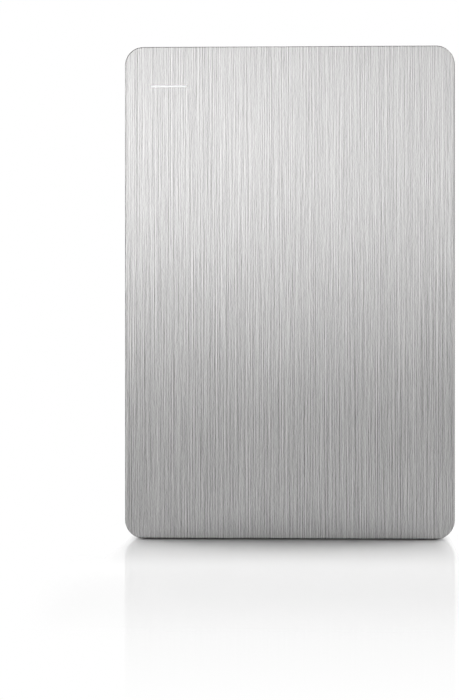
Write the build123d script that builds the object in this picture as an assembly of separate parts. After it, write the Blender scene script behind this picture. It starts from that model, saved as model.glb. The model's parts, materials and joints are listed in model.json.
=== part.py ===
from build123d import *
import os
from math import acos, atan2, cos, degrees, hypot, radians, sin

# Portable external hard drive: a brushed metal cover on a moulded case, round a 2.5-inch disk drive
# on rubber bumpers and a small bridge board with the data port.
#
# Every piece is modelled with the product lying on its back: x runs across it, y along it from the
# lower end to the port end, and z from the back face up to the front face. stand_up() then turns it
# onto its lower end, front face towards -Y, with the origin under the middle of the body.
# The case is worked out from the inside: platter, then drive, then bumpers, then walls.

# Fits and clearances, in millimetres
FIT = 0.02  # pressed or bonded pieces, on the radius
RUNNING_FIT = 0.03  # a shaft in its sleeve, on the radius
LOOSE_FIT = 0.1  # pieces put together by hand
AIR_GAP = 0.3  # magnets and coils that pass each other
END_FLOAT = 0.2  # turning faces, along their axis

# Case
CASE_WALL = 1.5
CASE_BACK = 1.2
CASE_BACK_EDGE = 1.4
CORNER_RADIUS = 4.3
CASE_RIB_WIDTH = 0.8
CASE_RIB_HEIGHT = 0.6
CASE_RIB_PITCH = 20.0
CASE_RIB_COUNT = 3
CASE_RIB_MARGIN = 6.0
BRIDGE_BAY = 8.55  # room between the drive and the port end

# Front cover, its film and the frame that carries it
COVER_SHEET = 0.7
COVER_RIM = 1.4  # depth of the turned rim, sheet included
COVER_EDGE = 0.2
COVER_INSET = 0.1  # the case shows as a thin dark line round the cover
SEAM_GAP = 0.1
ADHESIVE_FILM = 0.15
ADHESIVE_MARGIN = 0.6
FRAME_PLATE = 1.0
FRAME_BORDER = 12.0
FRAME_WINDOW_RADIUS = 5.0

# Snap hooks between the frame and the case
HOOK_WIDTH = 8.0
HOOK_SHEET = 0.9
HOOK_DROP = 3.4
HOOK_CATCH = 0.45
HOOK_BARB_HEIGHT = 1.3
HOOK_SPACING = 6.0  # between a hook and the bumper beside it

# Light slit in the cover
SLIT_LENGTH = 8.25
SLIT_HEIGHT = 0.4
SLIT_FROM_SIDE = 6.1
SLIT_FROM_TOP = 9.2
PIPE_RECESS = 0.05
PIPE_NECK = 1.4
PIPE_NECK_LENGTH = 8.5
PIPE_FLANGE = 2.4
PIPE_FLANGE_LENGTH = 10.4
PIPE_FLANGE_SHEET = 0.8
PIPE_WAIST_LENGTH = 6.0
PIPE_WAIST = 1.2
PIPE_FOOT_LENGTH = 2.2
PIPE_FOOT = 0.9
PIPE_TO_LED = 0.15

# Rubber bumpers round the drive
BUMPER_SIDE = 1.575
BUMPER_END = 1.6
BUMPER_BACK = 1.0
BUMPER_FRONT = 1.05
BUMPER_OVERLAP = 6.0  # over the drive's faces
CORNER_BUMPER_LENGTH = 14.0
CORNER_BUMPER_EASE = 0.3
SIDE_BUMPER_LENGTH = 16.0
NUB_LENGTH = 2.0

# Platter and spindle
PLATTER_DIAMETER = 65.0
PLATTER_BORE = 20.0
PLATTER_THICKNESS = 0.635
PLATTER_CLEARANCE = 0.925
HUB_FLANGE_WIDTH = 1.8
HUB_FLANGE_HEIGHT = 0.78
HUB_PLATE = 0.68
HUB_SPIGOT_SHORT = 0.12
SKIRT_WALL = 1.4
ROTOR_RING = 1.2
ROTOR_HEIGHT = 1.1
SHAFT_RADIUS = 1.5
SLEEVE_WALL = 1.2
SLEEVE_FLOOR = 0.3
CLAMP_SHEET = 0.5
CLAMP_RIM_WIDTH = 1.4
CLAMP_DISH = 0.25
CLAMP_HEAD_RADIUS = 2.4
CLAMP_HEAD_HEIGHT = 0.6
CLAMP_SHANK_RADIUS = 0.8
CLAMP_SHANK_LENGTH = 2.2
CLAMP_HOLE_RADIUS = 1.0

# Stator under the hub
STATOR_TEETH = 9
STATOR_SHEET = 0.8
STATOR_YOKE = 1.4
STATOR_TOOTH = 1.2
STATOR_SHOE = 0.7
STATOR_SHOE_SPREAD = 28.0
STATOR_COIL_HEIGHT = 1.4
STATOR_COIL_WIDTH = 2.2
MOTOR_BOSS_WALL = 1.0
MOTOR_WELL_MARGIN = 0.8

# Swing arm, measured from its pivot
PIVOT_ACROSS = -8.0
PIVOT_MARGIN = 6.7  # from the platter's rim to the level of the pivot
PIVOT_SHAFT_RADIUS = 1.6
PIVOT_FOOT_RADIUS = 2.4
PIVOT_FOOT_HEIGHT = 0.12
PIVOT_SLEEVE_WALL = 1.75
ARM_HUB_WALL = 1.4
ARM_SHEET = 0.4
ARM_ROOT_WIDTH = 8.4
ARM_TIP_WIDTH = 4.4
ARM_TIP_SHORT = 9.0  # the arm ends this far before the heads
ARM_HOLE_RADIUS = 1.6
ARM_HOLE_AT = 10.5
SUSPENSION_SHEET = 0.1
SUSPENSION_ROOT_WIDTH = 4.0
SUSPENSION_NOSE_WIDTH = 1.1
SUSPENSION_LAP = 5.0
LIFT_TAB_LENGTH = 2.6
LIFT_TAB_WIDTH = 0.7
SLIDER_LENGTH = 1.2
SLIDER_WIDTH = 1.0
SLIDER_HEIGHT = 0.23
HEAD_GAP = 0.08
HEAD_SHORTFALL = 6.0  # the heads pass this far from the spindle's axis at least
PARK_REACH = 2.5  # parked heads stand this far outside the platter
INNER_TRACK_RADIUS = 14.0

# Voice coil, magnet and yokes
COIL_THICKNESS = 1.0
COIL_INNER = 8.0
COIL_MARGIN = 2.5  # from the coil to the rim of the yokes
COIL_SPREAD = 40.0
COIL_BAND = 2.2
COIL_BAND_SPREAD = 11.0
FORK_RADIUS = 13.5
FORK_SPREAD = 54.0
MAGNET_THICKNESS = 0.8
YOKE_THICKNESS = 0.6
YOKE_INNER = 7.0
YOKE_RADIUS = 17.5
YOKE_CLEARANCE = 0.6
YOKE_POST_RADIUS = 0.8
YOKE_POST_SPREAD = 35.0
YOKE_OVERLAP = 4.0
STOP_RADIUS = 0.8
STOP_GAP = 0.15
STOP_ORBIT = 11.0

# Parking ramp beside the platter
RAMP_GAP = 0.06
RAMP_START = 0.95
RAMP_SHELF = 1.95
RAMP_FOOT = 3.0
RAMP_WALL = 0.5
RAMP_SPREAD = 10.5
RAMP_LEAD = 4.7  # degrees from the parked heads towards the platter
RAMP_TO_PLATTER = 0.4

# Cast base and lid of the drive
DRIVE_WALL = 1.5
DRIVE_CORNER = 2.0
BAY_SIDE_WALL = 3.9
BAY_WALL = 2.125
BAY_CORNER = 3.0
BAY_FLOOR = 0.6
LID_SHEET = 0.5
LID_GAP = 0.4
LID_DISC_RADIUS = 14.0
LID_DISC_DEPTH = 0.15
SEAL_THICKNESS = 0.3
SEAL_MARGIN = 0.25
SEAL_WIDTH = 0.7
LID_SCREW_INSET = 1.95
LID_SCREW_FROM_END = 3.4
LID_SCREW_HEAD = 1.2
LID_SCREW_SHANK = 0.55
LID_SCREW_DEPTH = 2.2
SIDE_HOLE_RADIUS = 1.25
SIDE_HOLE_DEPTH = 3.0
SIDE_HOLE_HEIGHT = 3.0
SIDE_HOLE_FROM_PORT_END = 14.0
SIDE_HOLE_FROM_LOWER_END = 9.75
BREATHER_RADIUS = 0.6
BREATHER_ACROSS = 20.0
BREATHER_ALONG = 8.0
BREATHER_FILTER_RADIUS = 3.0
BREATHER_FILTER_HEIGHT = 0.6

# Air filter and head flex inside the drive
FILTER_WIDTH = 3.0
FILTER_LENGTH = 8.0
FILTER_HEIGHT = 3.2
FILTER_FROM_WALL = 0.5
FILTER_ALONG = 9.0
BRACKET_ACROSS = 14.0
BRACKET_WIDTH = 9.0
BRACKET_LENGTH = 6.0
BRACKET_HEIGHT = 2.2
BRACKET_FROM_WALL = 0.3
FLEX_SHEET = 0.12
FLEX_HEIGHT = 1.2
FLEX_ANGLE = 35.0

# Drive board and its connector
BOARD_RECESS = 0.1
DRIVE_BOARD = 0.8
DRIVE_BOARD_GAP = 0.3
DRIVE_BOARD_CORNER = 2.0
POCKET_SIDE = 4.4
POCKET_MARGIN = 3.0  # between the motor well and the board pocket
CHIP_HEIGHT = 0.85
CHIP_GAP = 0.15
DRIVE_CHIP = 11.0
DRIVE_CHIP_ACROSS = -9.0
MOTOR_CHIP = 7.0
MOTOR_CHIP_ACROSS = 9.0
CACHE_LENGTH = 10.0
CACHE_WIDTH = 8.0
CACHE_ACROSS = -21.5
CHIP_ROW = 14.0  # from the inner edge of the drive board to its chips
BOARD_SCREW_BOSS = 1.7
BOARD_SCREW_INSET = 3.0
BOARD_SCREW_HEAD = 1.2
BOARD_SCREW_HEAD_HEIGHT = 0.1
BOARD_SCREW_SHANK = 0.5
BOARD_SCREW_BITE = 1.0
NOTCH_DEPTH = 6.0
PLUG_FROM_SIDE = 3.825
PLUG_HEIGHT = 4.9
PLUG_BACK = 1.6
PLUG_POST = 1.2
PLUG_SETBACK = 0.3
TONGUE_THICKNESS = 1.2
TONGUE_RISE = 2.1
SIGNAL_WIDTH = 10.4
POWER_WIDTH = 20.6
TONGUE_SPACING = 2.4
TONGUE_KEY = 1.2
TONGUE_KEY_HEIGHT = 1.4
PLUG_SIDE = 2.4
SIGNAL_PIN_COUNT = 7
POWER_PIN_COUNT = 15
PIN_PITCH = 1.27
PIN_WIDTH = 0.8
PIN_SHEET = 0.08
PIN_LENGTH = 3.4

# Bridge board, its parts and the data port
BRIDGE_BOARD = 0.8
BRIDGE_EDGE = 0.4
BRIDGE_CORNER = 3.0
BRIDGE_SCREW_FROM_SIDE = 3.1
BRIDGE_BOSS_RADIUS = 1.9
BRIDGE_PILOT_DEPTH = 1.5
BRIDGE_SCREW_HEAD = 1.5
BRIDGE_SCREW_HEAD_HEIGHT = 0.8
BRIDGE_SCREW_SHANK = 0.75
SOCKET_FLOOR = 0.1
SOCKET_BODY = 3.8
SOCKET_HEIGHT = 4.7
TAIL_LENGTH = 1.2
TAIL_WIDTH = 0.5
TAIL_SHEET = 0.2
PORT_ACROSS = -15.0
PORT_WIDTH = 12.4
PORT_HEIGHT = 2.0
PORT_CHAMFER = 0.65
PORT_WEB_AT = 1.3
PORT_WEB_WIDTH = 0.8
PORT_SHELL = 0.3
PORT_DEPTH = 5.2
PORT_RECESS = 0.3
PORT_CLEARANCE = 0.3
PORT_HOLE_CORNER = 0.8
PORT_HOLE_CHAMFER = 0.4
PORT_BACK = 1.4
PORT_TONGUE = 0.7
PORT_TONGUE_SHORT = 0.6
PORT_TONGUE_MARGIN = 0.6
PORT_TONGUE_RISE = 0.25
PORT_PIN_COUNT = 5
PORT_PIN_PITCH = 0.65
PORT_PIN_WIDTH = 0.3
PORT_PIN_SHEET = 0.08
PORT_PIN_SHORT = 0.3
LED_LENGTH = 1.6
LED_WIDTH = 0.8
LED_HEIGHT = 0.6
CONTROLLER = 5.0
CONTROLLER_HEIGHT = 0.8
CONTROLLER_FROM_EDGE = 0.6
FIRMWARE_LENGTH = 4.0
CRYSTAL_LENGTH = 3.2
INDUCTOR_LENGTH = 3.0
INDUCTOR_HEIGHT = 1.2
SMALL_PART_WIDTH = 2.4
SMALL_PART_HEIGHT = 0.8
SMALL_PART_SPACING = 1.6
SMALL_PART_FROM_EDGE = 0.4
CAPACITOR_COUNT = 6
CAPACITOR_LENGTH = 0.8
CAPACITOR_WIDTH = 1.6
CAPACITOR_SPACING = 1.0
FOIL_SHEET = 0.08
FOIL_MARGIN = 1.0
FOIL_FROM_END = 2.6

# Sizes that follow: across and along
PLATTER_RADIUS = PLATTER_DIAMETER / 2
CAVITY_RADIUS = PLATTER_RADIUS + PLATTER_CLEARANCE
DRIVE_WIDTH = 2 * (CAVITY_RADIUS + DRIVE_WALL)
DRIVE_SIDE = DRIVE_WIDTH / 2
DRIVE_START = CASE_WALL + BUMPER_END
SPINDLE_Y = DRIVE_START + DRIVE_WALL + CAVITY_RADIUS
PIVOT_X = PIVOT_ACROSS
PIVOT_Y = SPINDLE_Y + PLATTER_RADIUS + PIVOT_MARGIN
BAY_END = PIVOT_Y + YOKE_RADIUS + YOKE_CLEARANCE
BAY_SIDE = DRIVE_SIDE - BAY_SIDE_WALL
NOTCH_START = BAY_END + BAY_WALL
DRIVE_END = NOTCH_START + NOTCH_DEPTH
CASE_INSIDE = DRIVE_SIDE + BUMPER_SIDE
BODY_SIDE = CASE_INSIDE + CASE_WALL
BODY_WIDTH = 2 * BODY_SIDE
PORT_WALL = DRIVE_END + BRIDGE_BAY
BODY_LENGTH = PORT_WALL + CASE_WALL

# Sizes that follow: depth, from the back face up
DRIVE_BACK = CASE_BACK + BUMPER_BACK
DRIVE_BOARD_BOTTOM = DRIVE_BACK + BOARD_RECESS
DRIVE_BOARD_TOP = DRIVE_BOARD_BOTTOM + DRIVE_BOARD
POCKET_ROOF = DRIVE_BOARD_TOP + CHIP_HEIGHT + CHIP_GAP
BAY_FLOOR_Z = POCKET_ROOF + BAY_FLOOR
LOWER_YOKE_TOP = BAY_FLOOR_Z + YOKE_THICKNESS
COIL_BOTTOM = LOWER_YOKE_TOP + AIR_GAP
COIL_TOP = COIL_BOTTOM + COIL_THICKNESS
ARM_PLANE = (COIL_BOTTOM + COIL_TOP) / 2
MAGNET_BOTTOM = COIL_TOP + AIR_GAP
MAGNET_TOP = MAGNET_BOTTOM + MAGNET_THICKNESS
UPPER_YOKE_TOP = MAGNET_TOP + YOKE_THICKNESS
LID_UNDERSIDE = UPPER_YOKE_TOP + LID_GAP
BASE_TOP = LID_UNDERSIDE - SEAL_THICKNESS
DRIVE_FRONT = LID_UNDERSIDE + LID_SHEET
FRAME_UNDERSIDE = DRIVE_FRONT + BUMPER_FRONT
FRAME_TOP = FRAME_UNDERSIDE + FRAME_PLATE
COVER_INSIDE = FRAME_TOP + ADHESIVE_FILM
BODY_DEPTH = COVER_INSIDE + COVER_SHEET
COVER_LIP = BODY_DEPTH - COVER_RIM
CASE_TOP = COVER_LIP - SEAM_GAP
HOOK_BOTTOM = FRAME_UNDERSIDE - HOOK_DROP
BRIDGE_TOP = DRIVE_BOARD_TOP + SOCKET_FLOOR
BRIDGE_BOTTOM = BRIDGE_TOP - BRIDGE_BOARD

# Sizes that follow: spindle motor
PLATTER_BOTTOM = ARM_PLANE - PLATTER_THICKNESS / 2
PLATTER_TOP = ARM_PLANE + PLATTER_THICKNESS / 2
SPIGOT_RADIUS = PLATTER_BORE / 2 - FIT
FLANGE_RADIUS = PLATTER_BORE / 2 + HUB_FLANGE_WIDTH
SKIRT_RADIUS = PLATTER_BORE / 2 + SKIRT_WALL / 2
SKIRT_BORE = SKIRT_RADIUS - SKIRT_WALL
ROTOR_RADIUS = SKIRT_BORE - FIT
STATOR_RADIUS = ROTOR_RADIUS - ROTOR_RING - AIR_GAP
HUB_UNDERSIDE = PLATTER_BOTTOM - HUB_PLATE
SLEEVE_TOP = HUB_UNDERSIDE - END_FLOAT
MOTOR_FLOOR_Z = SLEEVE_TOP - STATOR_COIL_HEIGHT - AIR_GAP
STATOR_BOTTOM = SLEEVE_TOP - (STATOR_COIL_HEIGHT + STATOR_SHEET) / 2
STATOR_TOP = STATOR_BOTTOM + STATOR_SHEET
SLEEVE_BORE = SHAFT_RADIUS + RUNNING_FIT
SLEEVE_RADIUS = SLEEVE_BORE + SLEEVE_WALL
MOTOR_BOSS_RADIUS = SLEEVE_RADIUS + FIT + MOTOR_BOSS_WALL
MOTOR_WELL_RADIUS = FLANGE_RADIUS + MOTOR_WELL_MARGIN
SHAFT_BOTTOM = DRIVE_BACK + SLEEVE_FLOOR + END_FLOAT / 2
HUB_TOP = PLATTER_TOP - HUB_SPIGOT_SHORT
CLAMP_TOP = PLATTER_TOP + CLAMP_SHEET

# Sizes that follow: swing arm, with angles in degrees about the pivot
COIL_OUTER = YOKE_RADIUS - COIL_MARGIN
PIVOT_DISTANCE = hypot(PIVOT_X, PIVOT_Y - SPINDLE_Y)
HEAD_REACH = PIVOT_DISTANCE - HEAD_SHORTFALL
HEAD_FACE = PLATTER_THICKNESS / 2 + HEAD_GAP
SUSPENSION_FACE = HEAD_FACE + SLIDER_HEIGHT
ARM_FACE = SUSPENSION_FACE + SUSPENSION_SHEET
ARM_HALF = ARM_FACE + ARM_SHEET
PIVOT_BORE = PIVOT_SHAFT_RADIUS + RUNNING_FIT
PIVOT_SLEEVE_RADIUS = PIVOT_BORE + PIVOT_SLEEVE_WALL
ARM_HUB_RADIUS = PIVOT_SLEEVE_RADIUS + FIT + ARM_HUB_WALL
TO_SPINDLE = degrees(atan2(SPINDLE_Y - PIVOT_Y, -PIVOT_X))


def angle_off_spindle(track):
    """The angle at the pivot between the spindle and heads that stand at this radius."""
    sides = PIVOT_DISTANCE**2 + HEAD_REACH**2 - track**2
    return degrees(acos(sides / (2 * PIVOT_DISTANCE * HEAD_REACH)))


ARM_PARKED = TO_SPINDLE + angle_off_spindle(PLATTER_RADIUS + PARK_REACH)
ARM_INNERMOST = TO_SPINDLE + angle_off_spindle(INNER_TRACK_RADIUS)
SWING = ARM_PARKED - ARM_INNERMOST
COIL_MIDDLE = ARM_PARKED + 180
YOKE_MIDDLE = COIL_MIDDLE - SWING / 2
YOKE_SPREAD = SWING + COIL_SPREAD + YOKE_OVERLAP
YOKE_POST_ORBIT = COIL_OUTER + 2 * YOKE_POST_RADIUS

# Sizes that follow: drive board, plug and bridge board
POCKET_START = SPINDLE_Y + MOTOR_WELL_RADIUS + POCKET_MARGIN
POCKET_HALF = DRIVE_SIDE - POCKET_SIDE
BOARD_START = POCKET_START + DRIVE_BOARD_GAP
BOARD_HALF = POCKET_HALF - DRIVE_BOARD_GAP
BOARD_END = DRIVE_END - DRIVE_BOARD_GAP
CHIP_LINE = BOARD_START + CHIP_ROW
TONGUES_WIDTH = SIGNAL_WIDTH + TONGUE_SPACING + POWER_WIDTH
PLUG_HALF = TONGUES_WIDTH / 2 + PLUG_SIDE
PLUG_ACROSS = DRIVE_SIDE - PLUG_FROM_SIDE - PLUG_HALF
SIGNAL_START = PLUG_ACROSS - TONGUES_WIDTH / 2
POWER_START = SIGNAL_START + SIGNAL_WIDTH + TONGUE_SPACING
PLUG_Z = DRIVE_BOARD_TOP + TONGUE_RISE
PLUG_BACK_START = NOTCH_START + LOOSE_FIT
PLUG_FACE = PLUG_BACK_START + PLUG_BACK
TONGUE_END = DRIVE_END - PLUG_SETBACK
SOCKET_FACE = PLUG_FACE + LOOSE_FIT
SOCKET_END = DRIVE_END + SOCKET_BODY
SOCKET_HALF = PLUG_HALF - PLUG_POST - LOOSE_FIT
BRIDGE_START = DRIVE_END + BRIDGE_EDGE
BRIDGE_END = PORT_WALL - BRIDGE_EDGE
BRIDGE_HALF = CASE_INSIDE - BRIDGE_EDGE
BRIDGE_SCREW_X = CASE_INSIDE - BRIDGE_SCREW_FROM_SIDE
BRIDGE_SCREW_Y = (BRIDGE_START + BRIDGE_END) / 2
PORT_MOUTH = BODY_LENGTH - PORT_RECESS
PORT_REAR = PORT_MOUTH - PORT_DEPTH
PORT_Z = BRIDGE_TOP + PORT_SHELL + PORT_HEIGHT / 2
SMALL_PART_Y = BRIDGE_END - SMALL_PART_FROM_EDGE - SMALL_PART_WIDTH / 2
FIRMWARE_X = PORT_ACROSS + PORT_WIDTH / 2 + PORT_SHELL + SMALL_PART_SPACING + FIRMWARE_LENGTH / 2
CRYSTAL_X = FIRMWARE_X + (FIRMWARE_LENGTH + CRYSTAL_LENGTH) / 2 + SMALL_PART_SPACING
INDUCTOR_X = CRYSTAL_X + (CRYSTAL_LENGTH + INDUCTOR_LENGTH) / 2 + SMALL_PART_SPACING
CAPACITORS_X = INDUCTOR_X + (INDUCTOR_LENGTH + CAPACITOR_LENGTH) / 2 + SMALL_PART_SPACING
SLIT_X = SLIT_FROM_SIDE + SLIT_LENGTH / 2 - BODY_SIDE
SLIT_Y = BODY_LENGTH - SLIT_FROM_TOP

# Sizes that follow: bumpers and hooks
CORNER_BUMPER_END = DRIVE_START + CORNER_BUMPER_LENGTH
SIDE_BUMPER_Y = DRIVE_END - SIDE_HOLE_FROM_PORT_END
SIDE_BUMPER_START = SIDE_BUMPER_Y - SIDE_BUMPER_LENGTH / 2
LOWER_HOLE_Y = DRIVE_START + SIDE_HOLE_FROM_LOWER_END
SIDE_HOLE_Z = DRIVE_BACK + SIDE_HOLE_HEIGHT
HOOK_OFFSET = HOOK_SPACING + HOOK_WIDTH / 2
HOOK_X = DRIVE_SIDE - BUMPER_OVERLAP - HOOK_OFFSET
HOOK_YS = (CORNER_BUMPER_END + HOOK_OFFSET, SIDE_BUMPER_START - HOOK_OFFSET)


def block(x_limits, y_limits, z_limits):
    """A box between two limits in each direction."""
    limits = (x_limits, y_limits, z_limits)
    size = [high - low for low, high in limits]
    middle = [(high + low) / 2 for low, high in limits]
    return Pos(*middle) * Box(*size)


def post(x, y, radius, bottom, top):
    """An upright cylinder."""
    upright = (Align.CENTER, Align.CENTER, Align.MIN)
    return Pos(x, y, bottom) * Cylinder(radius, top - bottom, align=upright)


def ring(x, y, inner, outer, bottom, top):
    """An upright tube."""
    return post(x, y, outer, bottom, top) - post(x, y, inner, bottom, top)


def turned(points):
    """A turned piece about the spindle, from its half section as (radius, depth) points."""
    section = make_face(Polyline(*[(radius, 0, depth) for radius, depth in points], close=True))
    return Pos(0, SPINDLE_Y, 0) * revolve(section, Axis.Z)


def body_slab(inset, bottom, top):
    """A slice of the body's rounded outline, drawn in by inset."""
    outline = RectangleRounded(BODY_WIDTH - 2 * inset, BODY_LENGTH - 2 * inset, CORNER_RADIUS - inset)
    return Pos(0, BODY_LENGTH / 2, bottom) * extrude(outline, amount=top - bottom)


def window_slab(grow, bottom, top):
    """The opening in the middle of the front frame, drawn out by grow."""
    across = 2 * (BODY_SIDE - FRAME_BORDER + grow)
    along = BODY_LENGTH - 2 * (FRAME_BORDER - grow)
    outline = RectangleRounded(across, along, FRAME_WINDOW_RADIUS + grow)
    return Pos(0, BODY_LENGTH / 2, bottom) * extrude(outline, amount=top - bottom)


def drive_slab(bottom, top):
    """A slice of the drive's rounded outline."""
    outline = RectangleRounded(DRIVE_WIDTH, DRIVE_END - DRIVE_START, DRIVE_CORNER)
    return Pos(0, (DRIVE_START + DRIVE_END) / 2, bottom) * extrude(outline, amount=top - bottom)


def chamber(grow, bottom, top):
    """The drive's sealed chamber, a round platter well joined to the arm's bay, drawn out by grow."""
    well = Pos(0, SPINDLE_Y) * Circle(CAVITY_RADIUS + grow)
    bay_length = BAY_END - SPINDLE_Y + 2 * grow
    bay = RectangleRounded(2 * (BAY_SIDE + grow), bay_length, BAY_CORNER + grow)
    outline = well + Pos(0, (SPINDLE_Y + BAY_END) / 2) * bay
    return Pos(0, 0, bottom) * extrude(outline, amount=top - bottom)


def sector(inner, outer, middle, spread, bottom, top):
    """A ring sector about the pivot, between two radii and either side of an angle."""
    outer_arc = CenterArc((0, 0), outer, middle - spread / 2, spread)
    inner_arc = CenterArc((0, 0), inner, middle - spread / 2, spread)
    first = Line(inner_arc @ 0, outer_arc @ 0)
    last = Line(outer_arc @ 1, inner_arc @ 1)
    face = make_face([first, outer_arc, last, inner_arc])
    return Pos(PIVOT_X, PIVOT_Y, bottom) * extrude(face, amount=top - bottom)


def about_pivot(radius, angle):
    """The point at this radius and angle from the pivot."""
    turn = radians(angle)
    return PIVOT_X + radius * cos(turn), PIVOT_Y + radius * sin(turn)


def along_arm(outline, bottom, top):
    """A plate drawn along x from the pivot, turned to lie along the parked arm."""
    place = Pos(PIVOT_X, PIVOT_Y, bottom) * Rot(0, 0, ARM_PARKED)
    return place * extrude(outline, amount=top - bottom, dir=(0, 0, 1))


def along_y(section, start, end):
    """A section drawn in x and depth, carried along the body."""
    return Pos(0, end, 0) * Rot(90, 0, 0) * extrude(section, amount=end - start)


def above_and_below(near, far):
    """The two depth ranges that lie this far either side of the platter's middle."""
    return (ARM_PLANE + near, ARM_PLANE + far), (ARM_PLANE - far, ARM_PLANE - near)


def stand_up(piece):
    """Turns a piece from lying on its back to standing on its lower end."""
    return Pos(0, BODY_DEPTH / 2, 0) * Rot(90, 0, 0) * piece


def slit_block(length, width, bottom, top):
    """A square-cornered block in line with the light slit, solid or cut away."""
    half_length, half_width = length / 2, width / 2
    x_limits = (SLIT_X - half_length, SLIT_X + half_length)
    y_limits = (SLIT_Y - half_width, SLIT_Y + half_width)
    return block(x_limits, y_limits, (bottom, top))


# Enclosure


def front_cover():
    """A shallow brushed pan with a turned rim and a slit for the status light."""
    pan = body_slab(COVER_INSET, COVER_LIP, BODY_DEPTH)
    pan = fillet(pan.faces().sort_by(Axis.Z)[-1].edges(), COVER_EDGE)
    pan -= body_slab(COVER_INSET + COVER_SHEET, COVER_LIP, COVER_INSIDE)
    return pan - slit_block(SLIT_LENGTH, SLIT_HEIGHT, COVER_INSIDE, BODY_DEPTH)


def cover_adhesive():
    """The bonding film between the cover and the frame."""
    inset = COVER_INSET + COVER_SHEET + LOOSE_FIT + ADHESIVE_MARGIN
    film = body_slab(inset, FRAME_TOP, COVER_INSIDE)
    film -= window_slab(ADHESIVE_MARGIN, FRAME_TOP, COVER_INSIDE)
    neck_length = PIPE_NECK_LENGTH + 2 * LOOSE_FIT
    return film - slit_block(neck_length, PIPE_NECK + 2 * LOOSE_FIT, FRAME_TOP, COVER_INSIDE)


def hook_places():
    """Where the hooks stand on the case's inner walls, each facing its wall."""
    places = []
    for y in HOOK_YS:
        places.append(Pos(CASE_INSIDE, y, 0))
        places.append(Pos(-CASE_INSIDE, y, 0) * Rot(0, 0, 180))
    for x in (-HOOK_X, HOOK_X):
        places.append(Pos(x, PORT_WALL, 0) * Rot(0, 0, 90))
        places.append(Pos(x, CASE_WALL, 0) * Rot(0, 0, -90))
    return places


def snap_hook():
    """One hook: a springy tongue with a sloped lead and a square catch."""
    back = -LOOSE_FIT - HOOK_SHEET
    catch = HOOK_BOTTOM + HOOK_BARB_HEIGHT
    section = Polygon(
        (back, FRAME_UNDERSIDE),
        (back, HOOK_BOTTOM),
        (-LOOSE_FIT, HOOK_BOTTOM),
        (HOOK_CATCH, HOOK_BOTTOM + HOOK_CATCH + LOOSE_FIT),
        (HOOK_CATCH, catch),
        (-LOOSE_FIT, catch),
        (-LOOSE_FIT, FRAME_UNDERSIDE),
        align=None,
    )
    return extrude(Plane.XZ * section, amount=HOOK_WIDTH / 2, both=True)


def snap_pocket():
    """The pocket in the case's wall that one hook catches in."""
    half = HOOK_WIDTH / 2 + LOOSE_FIT
    top = HOOK_BOTTOM + HOOK_BARB_HEIGHT + LOOSE_FIT
    return block((0, HOOK_CATCH + LOOSE_FIT), (-half, half), (HOOK_BOTTOM, top))


def front_frame():
    """The moulded frame that closes the case, with a flange on its wall and hooks inside it."""
    flange_inset = COVER_INSET + COVER_SHEET + LOOSE_FIT
    plate_inset = CASE_WALL + LOOSE_FIT
    low = min(CASE_TOP, FRAME_UNDERSIDE)
    frame = body_slab(flange_inset, CASE_TOP, FRAME_TOP) + body_slab(plate_inset, low, FRAME_TOP)
    frame -= window_slab(0, low, FRAME_TOP)
    if FRAME_UNDERSIDE > low:
        frame -= body_slab(plate_inset + HOOK_SHEET, low, FRAME_UNDERSIDE)
    neck_length = PIPE_NECK_LENGTH + 2 * LOOSE_FIT
    frame -= slit_block(neck_length, PIPE_NECK + 2 * LOOSE_FIT, low, FRAME_TOP)
    hook = snap_hook()
    return frame + [place * hook for place in hook_places()]


def port_hole():
    """The opening for the data port in the end wall, with an eased outer edge."""
    across = PORT_WIDTH + 2 * (PORT_SHELL + PORT_CLEARANCE)
    high = PORT_HEIGHT + 2 * (PORT_SHELL + PORT_CLEARANCE)
    grow = 2 * PORT_HOLE_CHAMFER
    inner = RectangleRounded(across, high, PORT_HOLE_CORNER)
    outer = RectangleRounded(across + grow, high + grow, PORT_HOLE_CORNER + PORT_HOLE_CHAMFER)
    turn = Rot(90, 0, 0)
    start = Pos(PORT_ACROSS, BODY_LENGTH - PORT_HOLE_CHAMFER, PORT_Z) * turn
    end = Pos(PORT_ACROSS, BODY_LENGTH, PORT_Z) * turn
    throat = along_y(Pos(PORT_ACROSS, PORT_Z) * inner, PORT_WALL, BODY_LENGTH)
    return throat + loft([start * inner, end * outer])


def rear_case():
    """The moulded tray: rounded back, ribs, board bosses, hook pockets and the port opening."""
    tray = body_slab(0, 0, CASE_TOP)
    tray = fillet(tray.faces().sort_by(Axis.Z)[0].edges(), CASE_BACK_EDGE)
    tray -= body_slab(CASE_WALL, CASE_BACK, CASE_TOP)
    rib_ends = (CORNER_BUMPER_END + CASE_RIB_MARGIN, SIDE_BUMPER_START - CASE_RIB_MARGIN)
    for index in range(CASE_RIB_COUNT):
        x = (index - (CASE_RIB_COUNT - 1) / 2) * CASE_RIB_PITCH
        sides = (x - CASE_RIB_WIDTH / 2, x + CASE_RIB_WIDTH / 2)
        tray += block(sides, rib_ends, (CASE_BACK, CASE_BACK + CASE_RIB_HEIGHT))
    for x in (-BRIDGE_SCREW_X, BRIDGE_SCREW_X):
        tray += post(x, BRIDGE_SCREW_Y, BRIDGE_BOSS_RADIUS, CASE_BACK, BRIDGE_BOTTOM)
        pilot = BRIDGE_BOTTOM - BRIDGE_PILOT_DEPTH
        tray -= post(x, BRIDGE_SCREW_Y, BRIDGE_SCREW_SHANK + FIT, pilot, BRIDGE_BOTTOM)
    pocket = snap_pocket()
    tray -= [place * pocket for place in hook_places()]
    return tray - port_hole()


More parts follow.
